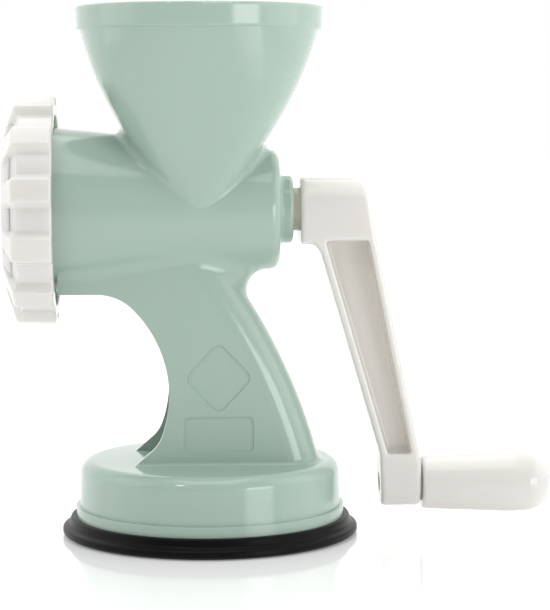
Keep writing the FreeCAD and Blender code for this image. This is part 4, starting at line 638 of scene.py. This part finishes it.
@dataclass
class RingNut:
    """The white ring nut: a threaded cup whose twelve lobes run on over its sloping front."""

    front: float = -90.0
    shoulder: float = -84.8
    back: float = -67.6
    radius: float = 50.7
    face_radius: float = 35.0
    opening: float = 28.5
    seat: float = -86.0
    bore: float = 42.55
    lobes: int = 12
    lobe_turn: float = 17.3
    crest_half: float = 5.65
    root_half: float = 8.8
    flute: float = 3.6
    front_share: float = 0.6
    softness: float = 0.16
    steps_per_lobe: int = 60
    bore_wall: float = 1.5
    seat_margin: float = 0.5
    thread_start: float = -80.35
    thread_pitch: float = 5.0
    thread_turns: float = 1.8
    thread_steps: int = 72
    root_radius: float = 42.85
    root_half_width: float = 1.15
    crest_radius: float = 40.85
    crest_half_width: float = 0.6

    def build(self) -> None:
        """Make the nut and let it ride its body."""
        points = rounded_outline([
            Corner(self.front, self.opening, round=0.8),
            Corner(self.front, self.face_radius, round=2.5),
            Corner(self.shoulder, self.radius, round=1.2),
            Corner(self.back, self.radius, round=1.1),
            Corner(self.back, self.bore, round=0.5),
            Corner(self.seat, self.bore, round=0.6),
            Corner(self.seat, self.opening, round=0.3),
        ])
        vertices, faces = turned(points, Axis.FEED, self.lobes * self.steps_per_lobe)
        nut = new_piece("ring_nut_lobed", vertices, faces, Slot.WHITE)
        self.mark_flutes(nut.data)
        run_tree(nut, self.flute_tree(), {
            "Lobes": self.lobes, "First lobe": math.radians(self.lobe_turn),
            "Crest half angle": math.radians(self.crest_half),
            "Root half angle": math.radians(self.root_half),
            "Softness": self.softness, "Axis height": FEED_HEIGHT * MM})
        self.add_thread(nut)
        settle(nut, Body.NUT, Slot.WHITE, "ring_nut")

    def mark_flutes(self, mesh: bpy.types.Mesh) -> None:
        """Store how far a full flute moves each vertex: along the axis, and inwards.

        The bore and its seat keep their places.

        Args:
            mesh: The turned blank.
        """
        marks = mesh.attributes.new("flute_shift", "FLOAT_VECTOR", "POINT")
        for vertex, mark in zip(mesh.vertices, marks.data):
            along = vertex.co.x / MM
            radius = math.hypot(vertex.co.y, vertex.co.z - FEED_HEIGHT * MM) / MM
            if radius < self.bore + self.bore_wall and along > self.seat - self.seat_margin:
                continue
            depth = min(max((radius - self.face_radius) / (self.radius - self.face_radius), 0), 1)
            ahead = 1 - min(max((along - self.shoulder) / (self.back - self.shoulder), 0), 1)
            mark.vector = (self.flute * self.front_share * depth * ahead * MM, -self.flute * depth * MM, 0)

    def flute_tree(self) -> bpy.types.NodeTree:
        """Make the tree that sinks the flutes between the lobes.

        Returns:
            The tree.
        """
        tree, given = new_tree("lobed_rim", {
            "Lobes": 12, "First lobe": 0.0, "Crest half angle": 0.1, "Root half angle": 0.2, "Softness": 0.3,
            "Axis height": 0.1})
        sizes = given.outputs
        place = add_node(tree, "GeometryNodeInputPosition").outputs[0]
        parts = add_node(tree, "ShaderNodeSeparateXYZ", {}, {0: place}).outputs
        rise = arithmetic(tree, "SUBTRACT", parts["Z"], sizes["Axis height"])
        angle = arithmetic(tree, "ARCTAN2", rise, parts["Y"])
        half_lobe = arithmetic(tree, "DIVIDE", math.pi, sizes["Lobes"])
        off_crest = arithmetic(tree, "PINGPONG", arithmetic(tree, "SUBTRACT", angle, sizes["First lobe"]),
                               half_lobe)
        ramp = add_node(tree, "ShaderNodeMapRange", {"clamp": False},
                        {"Value": off_crest, "From Min": sizes["Crest half angle"],
                         "From Max": sizes["Root half angle"]}).outputs["Result"]
        crest = arithmetic(tree, "SMOOTH_MAX", ramp, 0.0, sizes["Softness"])
        depth = arithmetic(tree, "SMOOTH_MIN", crest, 1.0, sizes["Softness"])
        shift = add_node(tree, "GeometryNodeInputNamedAttribute", {"data_type": "FLOAT_VECTOR"},
                         {"Name": "flute_shift"}).outputs[0]
        shifts = add_node(tree, "ShaderNodeSeparateXYZ", {}, {0: shift}).outputs
        along = arithmetic(tree, "MULTIPLY", shifts["X"], depth)
        inward = arithmetic(tree, "MULTIPLY", shifts["Y"], depth)
        offset = add_node(tree, "ShaderNodeCombineXYZ", {}, {
            "X": along, "Y": arithmetic(tree, "MULTIPLY", inward, arithmetic(tree, "COSINE", angle)),
            "Z": arithmetic(tree, "MULTIPLY", inward, arithmetic(tree, "SINE", angle))})
        moved = add_node(tree, "GeometryNodeSetPosition", {},
                         {"Geometry": sizes["Geometry"], "Offset": offset.outputs[0]})
        end_tree(tree, moved.outputs[0], Slot.WHITE)
        return tree

    def add_thread(self, nut: bpy.types.Object) -> None:
        """Wind the thread's ridge inside the nut, rooted in its wall.

        Args:
            nut: The nut, whose mesh gets the ridge.
        """
        steps = round(self.thread_steps * self.thread_turns)
        section = [(-self.root_half_width, self.root_radius), (-self.crest_half_width, self.crest_radius),
                   (self.crest_half_width, self.crest_radius), (self.root_half_width, self.root_radius)]
        work = bmesh.new()
        work.from_mesh(nut.data)
        rings = []
        for step in range(steps + 1):
            turns = self.thread_turns * step / steps
            angle = 2 * math.pi * turns
            rings.append([work.verts.new(Vector((self.thread_start + self.thread_pitch * turns + along,
                                                 -out * math.sin(angle),
                                                 FEED_HEIGHT + out * math.cos(angle))) * MM)
                          for along, out in section])
        made = [work.faces.new(rings[0]), work.faces.new(rings[-1][::-1])]
        for first, second in zip(rings, rings[1:]):
            for side in range(len(section)):
                after = (side + 1) % len(section)
                made.append(work.faces.new((first[side], second[side], second[after], first[after])))
        bmesh.ops.recalc_face_normals(work, faces=made)
        work.to_mesh(nut.data)
        work.free()


def edge_at(height: float, foot: tuple[float, float], top: tuple[float, float]) -> float:
    """Where a straight edge between two points stands at a height."""
    return foot[0] + (top[0] - foot[0]) * (height - foot[1]) / (top[1] - foot[1])


@dataclass
class Crank:
    """The white crank: a hub, a leaning arm hollowed on both sides, and an end that carries the grip."""

    hub_face: float = 40.8
    hub_radius: float = 14.9
    end_face: float = 94.9
    end_back: float = 77.2
    end_radius: float = 10.8
    inner_foot: tuple[float, float] = (76.2, 36.0)
    inner_top: tuple[float, float] = (49.3, 127.5)
    outer_foot: tuple[float, float] = (94.0, 36.0)
    outer_top: tuple[float, float] = (70.0, 154.4)
    crown: float = 67.2
    knee: float = 46.2
    end_top: float = 30.0
    web: float = 5.0
    flange: float = 3.6
    pocket_top: float = 132.0
    pocket_bottom: float = 35.6
    pocket_corner: float = 1.5
    recess_floor: float = 60.6
    recess_radius: float = 8.6
    socket_half: float = 6.3
    socket_end: float = 57.3
    bolt_radius: float = 3.25
    tail_radius: float = 5.02
    tail_length: float = 9.0
    screw_radius: float = 2.25
    screw_end: float = 88.0
    head_radius: float = 4.25
    screw_seat: float = 80.0
    side_edge: float = 2.2
    pocket_floor_edge: float = 2.5
    pocket_rim_edge: float = 1.2
    recess_edge: float = 0.8
    hole_edge: float = 0.3
    low: Place = (39.6, -16.2, 9.0)
    high: Place = (96.1, 16.2, 161.8)
    cell: float = 0.75

    def __post_init__(self) -> None:
        """Draw the arm and its pockets as seen from the side."""
        self.outline = polygon_field(rounded_outline([
            Corner(self.hub_face, FEED_HEIGHT + self.hub_radius, round=0.8),
            Corner(self.hub_face, FEED_HEIGHT - self.hub_radius, round=0.8),
            Corner(self.knee, FEED_HEIGHT - self.hub_radius, round=6.0),
            Corner(*self.inner_top, round=6.0),
            Corner(*self.inner_foot, round=14.0),
            Corner(self.end_back, GRIP_HEIGHT - self.end_radius, round=2.2),
            Corner(self.end_face, GRIP_HEIGHT - self.end_radius, round=2.2),
            Corner(self.end_face, self.end_top, round=6.0),
            Corner(*self.outer_foot, round=10.0),
            Corner(*self.outer_top, round=9.0),
            Corner(self.crown, FEED_HEIGHT + self.hub_radius, round=2.4),
        ]))
        bottom, top, flange = self.pocket_bottom, self.pocket_top, self.flange
        self.pocket = polygon_field(rounded_outline([
            Corner(self.inner_edge(bottom) + flange, bottom, round=self.pocket_corner),
            Corner(self.outer_edge(bottom) - flange, bottom, round=self.pocket_corner),
            Corner(self.outer_edge(top) - flange, top, round=self.pocket_corner),
            Corner(self.inner_edge(top) + flange, top, round=self.pocket_corner),
        ]))

    def build(self) -> None:
        """Model the arm's skin and let it ride the crank."""
        skin = skin_of(self.field, self.low, self.high, self.cell)
        arm = new_piece("crank_arm_moulded", *skin, Slot.WHITE)
        settle(arm, Body.CRANK, Slot.WHITE, "crank_arm")

    def inner_edge(self, height: float) -> float:
        """Where the arm's inner edge stands at a height."""
        return edge_at(height, self.inner_foot, self.inner_top)

    def outer_edge(self, height: float) -> float:
        """Where the arm's outer edge stands at a height."""
        return edge_at(height, self.outer_foot, self.outer_top)

    def field(self, x: np.ndarray, y: np.ndarray, z: np.ndarray) -> np.ndarray:
        """Measure the distance to the arm's surface.

        Args:
            x: Places along the feed axis.
            y: Places across it.
            z: Heights.

        Returns:
            The signed distance at each place.
        """
        front = tapered_bar(y, FEED_HEIGHT - z, FEED_HEIGHT - GRIP_HEIGHT, self.hub_radius, self.end_radius)
        arm = soft_max(self.outline(x, z), front, self.side_edge)
        pocket = soft_max(self.pocket(x, z), self.web / 2 - np.abs(y), self.pocket_floor_edge)
        arm = soft_max(arm, -pocket, self.pocket_rim_edge)
        from_hub, from_end = np.hypot(y, z - FEED_HEIGHT), np.hypot(y, z - GRIP_HEIGHT)
        recess = np.maximum(from_hub - self.recess_radius, self.recess_floor - x)
        square = np.maximum(np.abs(y), np.abs(z - FEED_HEIGHT)) - self.socket_half
        socket = np.maximum(square, x - self.socket_end)
        bolt_way = from_hub - self.bolt_radius
        tail_way = np.maximum(from_end - self.tail_radius, self.end_face - self.tail_length - x)
        screw_way = np.maximum(from_end - self.screw_radius, x - self.screw_end)
        head_way = np.maximum(from_end - self.head_radius, x - self.screw_seat)
        arm = soft_max(arm, -recess, self.recess_edge)
        for hole in (socket, bolt_way, tail_way, screw_way, head_way):
            arm = soft_max(arm, -hole, self.hole_edge)
        return arm


@dataclass
class Grip:
    """The white grip: a smooth taper with a blunt, well rounded end, free on its axle."""

    start: float = 95.8
    end: float = 155.2
    neck: float = 12.0
    belly: float = 13.9
    belly_along: float = 136.5
    shoulder: tuple[float, float] = (147.0, 13.3)
    nose: tuple[float, float] = (153.8, 8.4)
    collar_bore: float = 8.18
    collar_end: float = 97.45
    bore: float = 5.08
    snap_start: float = 135.9
    snap_end: float = 144.0
    snap_radius: float = 6.7
    steps: int = 96

    def build(self) -> None:
        """Turn the grip and let it ride its body."""
        points = rounded_outline([
            Corner(self.start, self.collar_bore, round=0.3),
            Corner(self.start, self.neck, round=1.6),
            Corner(self.belly_along, self.belly, round=80.0),
            Corner(*self.shoulder, round=20.0),
            Corner(*self.nose, round=9.0),
            Corner(self.end, 0.0),
            Corner(self.snap_end, 0.0),
            Corner(self.snap_end, self.snap_radius),
            Corner(self.snap_start, self.snap_radius),
            Corner(self.snap_start, self.bore),
            Corner(self.collar_end, self.bore),
            Corner(self.collar_end, self.collar_bore),
        ])
        grip = new_piece("grip_turned", *turned(points, Axis.GRIP, self.steps), Slot.WHITE)
        settle(grip, Body.GRIP, Slot.WHITE, "grip")


@dataclass
class SuctionFoot:
    """The black rubber foot: a rigid rim, and a membrane that the lock draws up."""

    rest_radius: float = 64.4
    tip_radius: float = 66.4
    tip_low: float = 1.3
    tip_high: float = 3.6
    step: float = 1.0
    step_height: float = 4.9
    ridge_radius: float = 62.6
    ridge_top: float = 8.4
    lip_radius: float = 60.22
    plate_underside: float = 7.0
    bead_radius: float = 50.0
    membrane: float = 3.0
    vacuum_radius: float = 34.0
    flat_radius: float = 12.0
    rise: float = 3.4
    neck_radius: float = 10.8
    neck_top: float = 10.6
    stud_bore: float = 4.3
    flange_bore: float = 8.3
    flange_low: float = 4.95
    flange_high: float = 9.35
    seam: float = 0.2
    flattened: float = 0.5
    steps: int = 192

    def build(self) -> None:
        """Turn the rim and the membrane."""
        rim = new_piece("foot_rim", *turned(rounded_outline([
            Corner(0.0, self.bead_radius),
            Corner(0.0, self.rest_radius, round=1.0),
            Corner(self.tip_low, self.tip_radius, round=0.9),
            Corner(self.tip_high, self.tip_radius, round=1.2),
            Corner(self.step_height, self.ridge_radius + self.step, round=1.4),
            Corner(self.ridge_top, self.ridge_radius, round=0.9),
            Corner(self.ridge_top, self.lip_radius, round=0.2),
            Corner(self.plate_underside, self.lip_radius),
            Corner(self.plate_underside, self.bead_radius),
        ]), Axis.UPRIGHT, self.steps), Slot.RUBBER)
        settle(rim, Body.HOUSING, Slot.RUBBER, "suction_pad")
        middle = new_piece("foot_membrane", *turned(rounded_outline([
            Corner(self.rise, 0.0),
            Corner(self.rise, self.flat_radius, round=6.0),
            Corner(0.0, self.vacuum_radius, round=2.0),
            Corner(0.0, self.bead_radius + self.seam),
            Corner(self.membrane, self.bead_radius + self.seam),
            Corner(self.membrane, self.vacuum_radius, round=2.0),
            Corner(self.rise + self.membrane, self.flat_radius, round=0.6),
            Corner(self.rise + self.membrane, self.neck_radius, round=0.5),
            Corner(self.neck_top, self.neck_radius, round=0.6),
            Corner(self.neck_top, self.stud_bore, round=0.3),
            Corner(self.flange_high, self.stud_bore),
            Corner(self.flange_high, self.flange_bore),
            Corner(self.flange_low, self.flange_bore),
            Corner(self.flange_low, 0.0),
        ]), Axis.UPRIGHT, self.steps), Slot.RUBBER)
        settle(middle, Body.HOUSING, Slot.RUBBER, "suction_pad")
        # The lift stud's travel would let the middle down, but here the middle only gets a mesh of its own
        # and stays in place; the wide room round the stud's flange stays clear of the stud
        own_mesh(middle)


@dataclass
class CamLever:
    """The white locking lever at the back: a flat bar with soft edges and a ribbed thumb end."""

    near: float = 60.9
    far: float = 67.9
    length: float = 44.0
    hub_radius: float = 7.8
    tip_radius: float = 5.4
    height: float = 20.0
    ribs: int = 4
    rib_start: float = 1.5
    rib_step: float = 3.2
    groove_radius: float = 1.1
    groove_lift: float = 0.5
    socket_half: float = 3.1
    collar_radius: float = 4.6
    collar_depth: float = 0.9
    bar_edge: float = 1.6
    groove_edge: float = 0.4
    hole_edge: float = 0.2
    low: Place = (-50.6, 60.0, 11.2)
    high: Place = (8.8, 68.9, 28.8)
    cell: float = 0.5

    def build(self) -> None:
        """Model the lever and let it ride its body."""
        skin = skin_of(self.field, self.low, self.high, self.cell)
        lever = new_piece("cam_lever_moulded", *skin, Slot.WHITE)
        settle(lever, Body.LEVER, Slot.WHITE, "suction_lever")

    def field(self, x: np.ndarray, y: np.ndarray, z: np.ndarray) -> np.ndarray:
        """Measure the distance to the lever's surface.

        Args:
            x: Places along the feed axis.
            y: Places across it.
            z: Heights.

        Returns:
            The signed distance at each place.
        """
        up = z - self.height
        bar = tapered_bar(up, -x, self.length, self.hub_radius, self.tip_radius)
        slab = np.abs(y - (self.near + self.far) / 2) - (self.far - self.near) / 2
        lever = soft_max(bar, slab, self.bar_edge)
        for rib in range(self.ribs):
            from_rib = x + self.length - self.rib_start - rib * self.rib_step
            groove = np.hypot(from_rib, y - self.far - self.groove_lift)
            lever = soft_max(lever, self.groove_radius - groove, self.groove_edge)
        socket = np.maximum(np.abs(x), np.abs(up)) - self.socket_half
        collar = np.maximum(np.hypot(x, up) - self.collar_radius, y - self.near - self.collar_depth)
        return soft_max(soft_max(lever, -socket, self.hole_edge), -collar, self.hole_edge)


# How far the crown of a screw's head falls at its rim, as a share of the head's height
CROWN_FALL = 0.55
# The cross recess: length and width of a bar as shares of the head's radius, and how high it stands
CROSS_LENGTH = 1.15
CROSS_WIDTH = 0.24
CROSS_LIFT = 1.05
HEAD_SIDES, SHANK_SIDES = 48, 32


@dataclass
class ScrewSet:
    """Like pan-head screws with cross recesses, set on their seats by a node tree."""

    name: str
    node: str
    body: Body
    seats: list[Place]
    axis: Place
    head_radius: float
    head_height: float
    shank_radius: float
    shank_length: float

    def build(self, tree: bpy.types.NodeTree) -> None:
        """Set the screws on their seats.

        Args:
            tree: The tree that makes one screw and repeats it.
        """
        mesh = bpy.data.meshes.new(self.name)
        mesh.from_pydata([tuple(Vector(seat) * MM) for seat in self.seats], [], [])
        marks = mesh.attributes.new("screw_axis", "FLOAT_VECTOR", "POINT")
        for mark in marks.data:
            mark.vector = self.axis
        screws = bpy.data.objects.new(self.name, mesh)
        bpy.context.scene.collection.objects.link(screws)
        run_tree(screws, tree, {
            "Head radius": self.head_radius * MM, "Head height": self.head_height * MM,
            "Shank radius": self.shank_radius * MM, "Shank length": self.shank_length * MM})
        settle(screws, self.body, Slot.STEEL, self.node)


def screw_tree() -> bpy.types.NodeTree:
    """Make the tree of one pan-head screw, repeated on every point along its own axis.

    Returns:
        The tree.
    """
    tree, given = new_tree("pan_head_screws", {
        "Head radius": 0.003, "Head height": 0.002, "Shank radius": 0.0015, "Shank length": 0.01})
    sizes = given.outputs
    radius, height = sizes["Head radius"], sizes["Head height"]
    half_height = arithmetic(tree, "MULTIPLY", height, 0.5)
    disc = add_node(tree, "GeometryNodeMeshCylinder", {"fill_type": "TRIANGLE_FAN"},
                    {"Vertices": HEAD_SIDES, "Side Segments": 4, "Fill Segments": 8, "Radius": radius,
                     "Depth": height}).outputs["Mesh"]
    # The head's crown falls away towards its rim like the fourth power of the radius
    place = add_node(tree, "GeometryNodeInputPosition").outputs[0]
    parts = add_node(tree, "ShaderNodeSeparateXYZ", {}, {0: place}).outputs
    squares = arithmetic(tree, "ADD", arithmetic(tree, "MULTIPLY", parts["X"], parts["X"]),
                         arithmetic(tree, "MULTIPLY", parts["Y"], parts["Y"]))
    share = arithmetic(tree, "DIVIDE", squares, arithmetic(tree, "MULTIPLY", radius, radius))
    fall = arithmetic(tree, "MULTIPLY", arithmetic(tree, "POWER", share, 2.0), CROWN_FALL)
    above = arithmetic(tree, "ADD", parts["Z"], half_height)
    lowered = arithmetic(tree, "MULTIPLY", above, arithmetic(tree, "SUBTRACT", 1.0, fall))
    crown = add_node(tree, "ShaderNodeCombineXYZ", {}, {"X": parts["X"], "Y": parts["Y"], "Z": lowered})
    head = add_node(tree, "GeometryNodeSetPosition", {},
                    {"Geometry": disc, "Position": crown.outputs[0]}).outputs[0]
    # Two crossed bars, raised over the head, cut the recess for the driver
    for wide, deep in ((CROSS_LENGTH, CROSS_WIDTH), (CROSS_WIDTH, CROSS_LENGTH)):
        size = add_node(tree, "ShaderNodeCombineXYZ", {}, {
            "X": arithmetic(tree, "MULTIPLY", radius, wide), "Y": arithmetic(tree, "MULTIPLY", radius, deep),
            "Z": height})
        bar = add_node(tree, "GeometryNodeMeshCube", {}, {"Size": size.outputs[0]}).outputs["Mesh"]
        lift = add_node(tree, "ShaderNodeCombineXYZ", {},
                        {"Z": arithmetic(tree, "MULTIPLY", height, CROSS_LIFT)})
        raised = add_node(tree, "GeometryNodeTransform", {},
                          {"Geometry": bar, "Translation": lift.outputs[0]}).outputs[0]
        head = add_node(tree, "GeometryNodeMeshBoolean", {"operation": "DIFFERENCE", "solver": "EXACT"},
                        {"Mesh 1": head, "Mesh 2": raised}).outputs["Mesh"]
    length = sizes["Shank length"]
    rod = add_node(tree, "GeometryNodeMeshCylinder", {"fill_type": "NGON"},
                   {"Vertices": SHANK_SIDES, "Radius": sizes["Shank radius"],
                    "Depth": length}).outputs["Mesh"]
    drop = add_node(tree, "ShaderNodeCombineXYZ", {}, {"Z": arithmetic(tree, "MULTIPLY", length, -0.5)})
    shank = add_node(tree, "GeometryNodeTransform", {},
                     {"Geometry": rod, "Translation": drop.outputs[0]}).outputs[0]
    screw = add_node(tree, "GeometryNodeJoinGeometry")
    tree.links.new(head, screw.inputs[0])
    tree.links.new(shank, screw.inputs[0])
    aim = add_node(tree, "GeometryNodeInputNamedAttribute", {"data_type": "FLOAT_VECTOR"},
                   {"Name": "screw_axis"}).outputs[0]
    turn = add_node(tree, "FunctionNodeAlignRotationToVector", {"axis": "Z"}, {"Vector": aim})
    points = add_node(tree, "GeometryNodeMeshToPoints", {}, {"Mesh": sizes["Geometry"]})
    placed = add_node(tree, "GeometryNodeInstanceOnPoints", {}, {
        "Points": points.outputs[0], "Instance": screw.outputs[0], "Rotation": turn.outputs[0]})
    end_tree(tree, placed.outputs[0], Slot.STEEL)
    return tree


BASE_SCREW_CIRCLE = 47.0
BASE_SCREW_SEAT = 9.1
BASE_SCREW_TURNS = [math.radians(degrees) for degrees in (45, 135, 225, 315)]

SCREWS = (
    ScrewSet("crank_bolt", "crank_screw", Body.CRANK, [(61.8, 0.0, FEED_HEIGHT)], (1, 0, 0),
             head_radius=6.0, head_height=3.6, shank_radius=3.0, shank_length=19.3),
    ScrewSet("axle_bolt", "axle_screw", Body.CRANK, [(80.0, 0.0, GRIP_HEIGHT)], (-1, 0, 0),
             head_radius=4.0, head_height=2.2, shank_radius=2.0, shank_length=18.6),
    ScrewSet("lever_bolt", "lever_screw", Body.LEVER, [(0.0, 67.9, 20.0)], (0, 1, 0),
             head_radius=4.8, head_height=1.9, shank_radius=1.5, shank_length=9.0),
    ScrewSet("base_bolts", "base_plate_screws", Body.HOUSING,
             [(BASE_SCREW_CIRCLE * math.cos(turn), BASE_SCREW_CIRCLE * math.sin(turn), BASE_SCREW_SEAT)
              for turn in BASE_SCREW_TURNS], (0, 0, -1),
             head_radius=2.9, head_height=1.9, shank_radius=1.5, shank_length=12.0),
)


@dataclass(frozen=True)
class SoftBox:
    """A rectangular lamp, in metres and watts, that shines on a target or straight down."""

    name: str
    place: Place
    wide: float
    tall: float
    power: float
    level: bool = False

    def hang(self, target: Place) -> None:
        """Hang the lamp in the studio.

        Args:
            target: The point that a lamp which isn't level shines on.
        """
        data = bpy.data.lights.new(self.name, "AREA")
        data.shape = "RECTANGLE"
        data.size, data.size_y = self.wide, self.tall
        data.energy = self.power
        lamp = bpy.data.objects.new(self.name, data)
        lamp.location = self.place
        if not self.level:
            aim = Vector(target) - Vector(self.place)
            lamp.rotation_euler = aim.to_track_quat("-Z", "Y").to_euler()
        bpy.context.scene.collection.objects.link(lamp)


@dataclass
class Studio:
    """White sweep, soft lamps and the camera at the photograph's viewing angle."""

    camera_place: Place = (-19.15, -964.39, 192.32)
    aim: Place = (29.7, 0.0, 102.4)
    lens_mm: float = 127.2
    sensor_mm: float = 36.0
    nearest: float = 0.01
    farthest: float = 50.0
    roll_degrees: float = 0.2
    floor_half: float = 6.0
    floor_drop: float = 0.0002
    floor_colour: str = "#E6E6E6"
    floor_roughness: float = 0.08
    floor_glow: float = 0.2
    front_light: float = 0.41
    back_light: float = 1.28
    light_turn: float = 0.6
    lit_point: Place = (0.0, 0.0, 0.12)
    lamps: tuple[SoftBox, ...] = (
        SoftBox("left_box", (-1.0, -0.15, 0.5), 0.8, 0.8, 1.7),
        SoftBox("right_box", (1.0, -0.15, 0.5), 0.8, 0.8, 1.8),
        SoftBox("low_box", (0.75, -0.85, 0.12), 0.5, 0.4, 3.0),
        SoftBox("top_box", (0.0, 0.08, 1.3), 0.8, 1.76, 7.8, level=True),
        SoftBox("spark_box", (-0.55, -0.9, 1.0), 0.14, 0.14, 1.2),
    )

    def build(self) -> None:
        """Make the whole studio."""
        self.add_camera()
        self.add_floor()
        for lamp in self.lamps:
            lamp.hang(self.lit_point)
        self.add_sky()

    def add_camera(self) -> None:
        """Place the camera and aim it at the middle of the picture."""
        data = bpy.data.cameras.new("camera")
        data.lens = self.lens_mm
        data.sensor_width = self.sensor_mm
        data.clip_start, data.clip_end = self.nearest, self.farthest
        camera = bpy.data.objects.new("camera", data)
        place, aim = Vector(self.camera_place) * MM, Vector(self.aim) * MM
        turn = (aim - place).to_track_quat("-Z", "Y").to_matrix().to_4x4()
        roll = Matrix.Rotation(math.radians(-self.roll_degrees), 4, "Z")
        camera.matrix_world = Matrix.Translation(place) @ turn @ roll
        bpy.context.scene.collection.objects.link(camera)
        bpy.context.scene.camera = camera

    def add_floor(self) -> None:
        """Lay a plain, glossy, near-white floor under the foot."""
        half = self.floor_half
        mesh = bpy.data.meshes.new("floor")
        mesh.from_pydata([(-half, -half, 0), (half, -half, 0), (half, half, 0), (-half, half, 0)], [],
                         [(0, 1, 2, 3)])
        material = bpy.data.materials.new("floor_gloss")
        material.use_nodes = True
        shader = material.node_tree.nodes["Principled BSDF"]
        shader.inputs["Base Color"].default_value = linear(self.floor_colour)
        shader.inputs["Roughness"].default_value = self.floor_roughness
        shader.inputs["Emission Color"].default_value = (1.0, 1.0, 1.0, 1.0)
        shader.inputs["Emission Strength"].default_value = self.floor_glow
        mesh.materials.append(material)
        floor = bpy.data.objects.new("floor", mesh)
        floor.location.z = -self.floor_drop
        bpy.context.scene.collection.objects.link(floor)

    def add_sky(self) -> None:
        """Light from a white room, brighter behind the grinder than behind the camera.

        The camera itself sees plain white.
        """
        world = bpy.data.worlds.new("white_room")
        world.use_nodes = True
        tree = world.node_tree
        background = tree.nodes["Background"]
        way = add_node(tree, "ShaderNodeTexCoord").outputs["Generated"]
        parts = add_node(tree, "ShaderNodeSeparateXYZ", {}, {0: way}).outputs
        room = add_node(tree, "ShaderNodeMapRange", {"interpolation_type": "SMOOTHSTEP"},
                        {"Value": parts["Y"], "From Min": -self.light_turn, "From Max": self.light_turn,
                         "To Min": self.front_light, "To Max": self.back_light})
        seen = add_node(tree, "ShaderNodeLightPath").outputs["Is Camera Ray"]
        strength = add_node(tree, "ShaderNodeMix", {"data_type": "FLOAT"},
                            {0: seen, 2: room.outputs["Result"], 3: 1.0})
        tree.links.new(strength.outputs[0], background.inputs["Strength"])
        background.inputs["Color"].default_value = (1.0, 1.0, 1.0, 1.0)
        bpy.context.scene.world = world
        bpy.context.scene.view_settings.view_transform = "Standard"


def dress_frame() -> None:
    """Give every CAD node the finish of its slot."""
    for row in frame["record"]["subparts"]:
        node = frame["nodes"][row["node"]]
        node.data.materials.clear()
        node.data.materials.append(MATERIALS[Slot(row["material_slot"])])
        LOG.info("%s: %d faces, %s", node.name, len(node.data.polygons), row["material_slot"])


def main() -> None:
    """Build the studio, dress the CAD nodes and make every new piece, each with a line in the log."""
    logging.basicConfig(level=logging.INFO, format="%(message)s")
    Studio().build()
    MATERIALS.update({slot: finish.build() for slot, finish in FINISHES.items()})
    dress_frame()
    RingNut().build()
    Crank().build()
    Grip().build()
    SuctionFoot().build()
    CamLever().build()
    tree = screw_tree()
    for screws in SCREWS:
        screws.build(tree)


if __name__ == "__main__":
    main()
